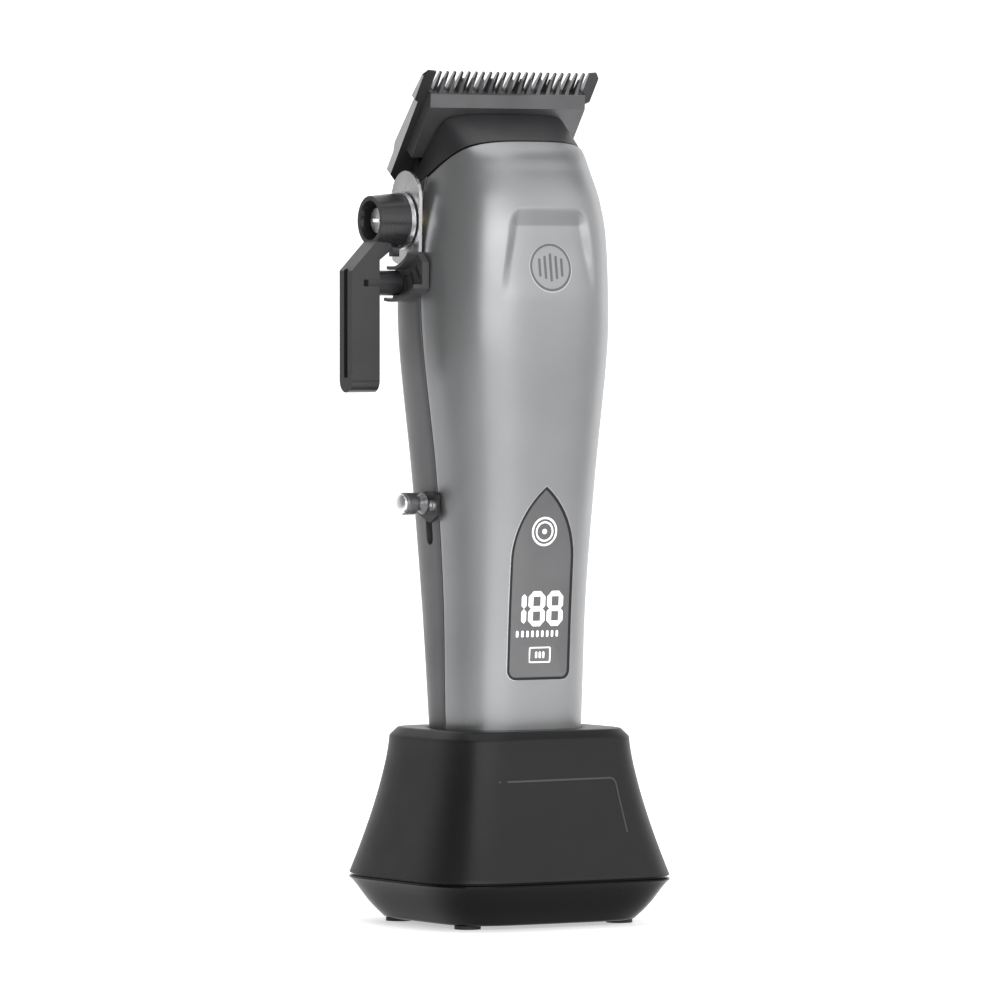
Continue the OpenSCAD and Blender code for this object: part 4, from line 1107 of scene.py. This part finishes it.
# CAD nodes that stay, with their finish and whether their edges are eased
KEPT = {
    "stand_feet": ("rubber", True), "stand_ballast": ("iron", False), "stand_board": ("board", False),
    "stand_inlet": ("steel", False), "stand_screws": ("steel", False), "socket_floor": ("dark", False),
    "pin_sleeves": ("brass", False), "charge_pins": ("brass", False), "end_cap": ("dark", False),
    "cap_screws": ("steel", False), "charge_contacts": ("brass", False), "display_panel": ("dark", False),
    "display_board": ("board", False), "main_board": ("board", False), "battery": ("wrap", False),
    "chassis": ("dark", False), "motor_can": ("steel", False), "motor_bearing": ("brass", False),
    "motor_mount": ("dark", False), "motor_magnets": ("iron", False), "rotor_core": ("copper", False),
    "motor_shaft": ("steel", False), "drive_cam": ("acetal", False), "fixed_blade": ("blade", True),
    "blade_screws": ("steel", True), "cutter_guide": ("acetal", False), "cutter_spring": ("steel", False),
    "moving_blade": ("cutter", True), "cam_follower": ("acetal", False), "lever_plate": ("steel", True),
    "detent_plate": ("detent", True), "lever_bush": ("brass", False), "lever_cam": ("steel", False),
    "taper_lever": ("lever", True), "lever_screw": ("steel", True), "lever_washer": ("steel", True),
    "detent_pin": ("dark", True), "switch_body": ("dark", False), "switch_plate": ("dark", True),
    "switch_screw": ("steel", False),
}


def dress_kept():
    """Finishes and eased edges on the frame's own hard parts."""
    finishes = {
        "rubber": rubber_finish(), "steel": steel_finish(), "dark": dark_finish(), "brass": brass_finish(),
        "blade": blade_finish(), "lever": lever_finish(),
        "cutter": finish("cutter_black", (0.13, 0.13, 0.134), 0.75, 0.36, 1800.0, 0.000004, 0.12,
                         stretch=(12.0, 1.0, 1.0), rough_vary=0.06),
        "detent": finish("detent_dark", (0.070, 0.070, 0.073), 0.3, 0.36, 4200.0, 0.00001, 0.1),
        "iron": finish("cast_iron", (0.2, 0.2, 0.21), 0.8, 0.6, 900.0, 0.00006, 0.2),
        "board": finish("solder_mask", (0.03, 0.14, 0.06), 0.0, 0.35, 1200.0, 0.00001, 0.15),
        "wrap": finish("cell_wrap", (0.03, 0.12, 0.32), 0.0, 0.3, 500.0, 0.000004, 0.1),
        "copper": finish("winding_copper", (0.5, 0.2, 0.08), 1.0, 0.35, 2500.0, 0.00004, 0.2),
        "acetal": finish("acetal_white", (0.72, 0.72, 0.68), 0.0, 0.4, 3000.0, 0.000006, 0.04),
    }
    for node, (kind, eased) in KEPT.items():
        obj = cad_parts[node]
        dress(obj, finishes[kind])
        if eased:
            soften(obj)


# ---------------------------------------------------------------- studio
SENSOR_WIDTH = 36.0
AIM_ASIDE = -0.00205
AIM_HEIGHT = 0.0961


def settings():
    """The camera and studio settings."""
    return bpy.context.scene.clipper_stage


def aside():
    """Level direction to the camera's right."""
    return Vector((math.cos(settings().azimuth), math.sin(settings().azimuth), 0))


def build_sweep():
    """Pale floor that curves up into a backdrop, as (distance, height, half width)."""
    white = finish("sweep_white", (0.90, 0.90, 0.90), 0.0, 0.6, 300.0, 0.00002, 0.005)
    shader = white.node_tree.nodes["Principled BSDF"]
    shader.inputs["Emission Color"].default_value = (1, 1, 1, 1)
    shader.inputs["Emission Strength"].default_value = settings().sweep_glow
    back, turn, height = 1.6, 0.6, 2.6
    profile = [(-0.45, 0.0, 0.36), (0.0, 0.0, 0.42), (0.4, 0.0, 0.9), (back - turn, 0.0, 1.9)]
    profile += [(back - turn + turn * math.sin(a), turn * (1 - math.cos(a)), 1.9 + 0.6 * a)
                for a in np.linspace(0.1, math.pi / 2, 14)]
    profile.append((back, height, 3.0))
    right = aside()
    ahead = Vector((-right.y, right.x, 0))
    under_feet = 0.02
    verts = []
    for d, z, half in profile:
        for s in (-half, half):
            p = right * s + ahead * d
            verts.append((p.x / MM, p.y / MM, z / MM - under_feet))
    sweep = add_object("sweep", verts, grid_faces(len(profile), 2, wrap_cols=False), sharp=180.0)
    dress(sweep, white)


def build_camera():
    """Long-lens camera aimed at the middle of the object."""
    stage = settings()
    cam = bpy.data.cameras.new("camera")
    cam.lens = stage.lens_length
    cam.sensor_width = SENSOR_WIDTH
    cam.clip_end = 50.0
    obj = bpy.data.objects.new("camera", cam)
    bpy.context.scene.collection.objects.link(obj)
    towards = Vector((math.sin(stage.azimuth) * math.cos(stage.elevation),
                      -math.cos(stage.azimuth) * math.cos(stage.elevation), math.sin(stage.elevation)))
    target = aside() * AIM_ASIDE + Vector((0, 0, AIM_HEIGHT))
    obj.location = target + towards * (stage.lens_length / SENSOR_WIDTH * stage.frame_width)
    obj.rotation_euler = towards.to_track_quat("Z", "Y").to_euler()
    bpy.context.scene.camera = obj


def softbox(name, start, stop, bottom, top, radiance, distance=1.4):
    """Upright panel facing the object between two azimuths in degrees, with its brightness."""
    facing = math.radians(0.5 * (start + stop))
    width = 2 * distance * math.tan(math.radians(0.5 * (stop - start)))
    light = bpy.data.lights.new(name, "AREA")
    light.shape = "RECTANGLE"
    light.size, light.size_y = width, top - bottom
    light.energy = radiance * math.pi * width * (top - bottom) * settings().light
    lamp = bpy.data.objects.new(name, light)
    outward = Vector((math.sin(facing), -math.cos(facing), 0))
    lamp.location = outward * distance + Vector((0, 0, 0.5 * (bottom + top)))
    lamp.rotation_euler = outward.to_track_quat("Z", "Y").to_euler()
    lamp.visible_camera = False
    bpy.context.scene.collection.objects.link(lamp)
    return lamp


def build_lights():
    """Even room light, four upright softboxes and one overhead."""
    world = bpy.data.worlds.new("studio")
    bpy.context.scene.world = world
    world.use_nodes = True
    world.node_tree.nodes["Background"].inputs["Color"].default_value = (1, 1, 1, 1)
    world.node_tree.nodes["Background"].inputs["Strength"].default_value = settings().ambient
    bpy.context.scene.view_settings.view_transform = "Standard"
    softbox("key", -50, 8, 0.0, 0.85, 2.7)
    softbox("half_right", 8, 50, 0.0, 0.85, 1.3)
    softbox("fill_right", 50, 112, 0.0, 0.85, 0.72)
    softbox("high_front", -45, 60, 0.9, 1.9, 0.95)
    overhead = softbox("overhead", -26, 26, 0.6, 2.0, 1.4)
    overhead.location = Vector((0, 0, 1.4))
    overhead.rotation_euler = (0, 0, settings().azimuth)


def build_stage():
    """Pale sweep, soft lights and a long-lens camera."""
    build_sweep()
    build_camera()
    build_lights()


# ---------------------------------------------------------------- operators
class CLIPPER_OT_stage(bpy.types.Operator):
    """Builds the pale sweep, the soft lights and the camera"""
    bl_idname = "clipper.stage"
    bl_label = "Studio and Camera"
    bl_options = {"REGISTER", "UNDO"}

    def execute(self, context):
        build_stage()
        return {"FINISHED"}


class CLIPPER_OT_cover(bpy.types.Operator):
    """Builds the front cover with its thumb recess and display window"""
    bl_idname = "clipper.cover"
    bl_label = "Front Cover"
    bl_options = {"REGISTER", "UNDO"}

    def execute(self, context):
        build_cover()
        return {"FINISHED"}


class CLIPPER_OT_emblem(bpy.types.Operator):
    """Builds the plain roundel in the thumb recess"""
    bl_idname = "clipper.emblem"
    bl_label = "Engraved Roundel"
    bl_options = {"REGISTER", "UNDO"}

    def execute(self, context):
        build_emblem()
        return {"FINISHED"}


class CLIPPER_OT_housing(bpy.types.Operator):
    """Builds the rear housing with its switch slot"""
    bl_idname = "clipper.housing"
    bl_label = "Rear Housing"
    bl_options = {"REGISTER", "UNDO"}

    def execute(self, context):
        build_housing()
        return {"FINISHED"}


class CLIPPER_OT_gasket(bpy.types.Operator):
    """Builds the dark seal along both seams"""
    bl_idname = "clipper.gasket"
    bl_label = "Seam Seal"
    bl_options = {"REGISTER", "UNDO"}

    def execute(self, context):
        build_gasket()
        return {"FINISHED"}


class CLIPPER_OT_lens(bpy.types.Operator):
    """Builds the smoked display lens"""
    bl_idname = "clipper.lens"
    bl_label = "Display Lens"
    bl_options = {"REGISTER", "UNDO"}

    def execute(self, context):
        build_lens()
        return {"FINISHED"}


class CLIPPER_OT_marks(bpy.types.Operator):
    """Builds the lit marks of the display"""
    bl_idname = "clipper.marks"
    bl_label = "Display Marks"
    bl_options = {"REGISTER", "UNDO"}

    def execute(self, context):
        build_marks()
        return {"FINISHED"}


class CLIPPER_OT_collar(bpy.types.Operator):
    """Builds the black nose collar and the blade seat"""
    bl_idname = "clipper.collar"
    bl_label = "Nose Collar"
    bl_options = {"REGISTER", "UNDO"}

    def execute(self, context):
        build_collar()
        return {"FINISHED"}


class CLIPPER_OT_switch(bpy.types.Operator):
    """Builds the power knob and its silver cap"""
    bl_idname = "clipper.switch"
    bl_label = "Power Switch"
    bl_options = {"REGISTER", "UNDO"}

    def execute(self, context):
        build_switch()
        return {"FINISHED"}


class CLIPPER_OT_stand(bpy.types.Operator):
    """Builds the flared shell of the stand"""
    bl_idname = "clipper.stand"
    bl_label = "Stand Shell"
    bl_options = {"REGISTER", "UNDO"}

    def execute(self, context):
        build_stand()
        return {"FINISHED"}


class CLIPPER_OT_tray(bpy.types.Operator):
    """Builds the polished tray under the stand"""
    bl_idname = "clipper.tray"
    bl_label = "Stand Tray"
    bl_options = {"REGISTER", "UNDO"}

    def execute(self, context):
        build_tray()
        return {"FINISHED"}


class CLIPPER_OT_stand_panel(bpy.types.Operator):
    """Builds the engraved frame line on the stand"""
    bl_idname = "clipper.stand_panel"
    bl_label = "Stand Frame Line"
    bl_options = {"REGISTER", "UNDO"}

    def execute(self, context):
        build_stand_panel()
        return {"FINISHED"}


class CLIPPER_OT_kept(bpy.types.Operator):
    """Finishes the blades, lever, screws and inner parts"""
    bl_idname = "clipper.kept"
    bl_label = "Hard Parts"
    bl_options = {"REGISTER", "UNDO"}

    def execute(self, context):
        dress_kept()
        return {"FINISHED"}


PIECES = (
    CLIPPER_OT_stage,
    CLIPPER_OT_cover,
    CLIPPER_OT_emblem,
    CLIPPER_OT_housing,
    CLIPPER_OT_gasket,
    CLIPPER_OT_lens,
    CLIPPER_OT_marks,
    CLIPPER_OT_collar,
    CLIPPER_OT_switch,
    CLIPPER_OT_stand,
    CLIPPER_OT_tray,
    CLIPPER_OT_stand_panel,
    CLIPPER_OT_kept)


class CLIPPER_PT_panel(bpy.types.Panel):
    """Settings and pieces of the hair clipper"""
    bl_idname = "CLIPPER_PT_panel"
    bl_label = "Hair Clipper"
    bl_space_type = "VIEW_3D"
    bl_region_type = "UI"
    bl_category = "Clipper"

    def draw(self, context):
        for name, _ in GROUPS:
            group = getattr(context.scene, name)
            box = self.layout.box()
            for key in group.bl_rna.properties.keys():
                if key not in ("rna_type", "name"):
                    box.prop(group, key)
        for piece in PIECES:
            self.layout.operator(piece.bl_idname)


GROUPS = (
    ("clipper_sizes", ClipperSizes), ("clipper_colours", ClipperColours),
    ("clipper_stage", ClipperStageSettings))


def register():
    """Register the settings, operators and panel."""
    for name, group in GROUPS:
        bpy.utils.register_class(group)
        setattr(bpy.types.Scene, name, bpy.props.PointerProperty(type=group))
    for cls in (*PIECES, CLIPPER_PT_panel):
        bpy.utils.register_class(cls)


def unregister():
    """Take everything out again."""
    for cls in (CLIPPER_PT_panel, *reversed(PIECES)):
        bpy.utils.unregister_class(cls)
    for name, group in reversed(GROUPS):
        delattr(bpy.types.Scene, name)
        bpy.utils.unregister_class(group)


def main():
    """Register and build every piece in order."""
    register()
    for piece in PIECES:
        getattr(bpy.ops.clipper, piece.bl_idname.split(".")[1])()
    bpy.context.view_layer.update()


if __name__ == "__main__":
    main()
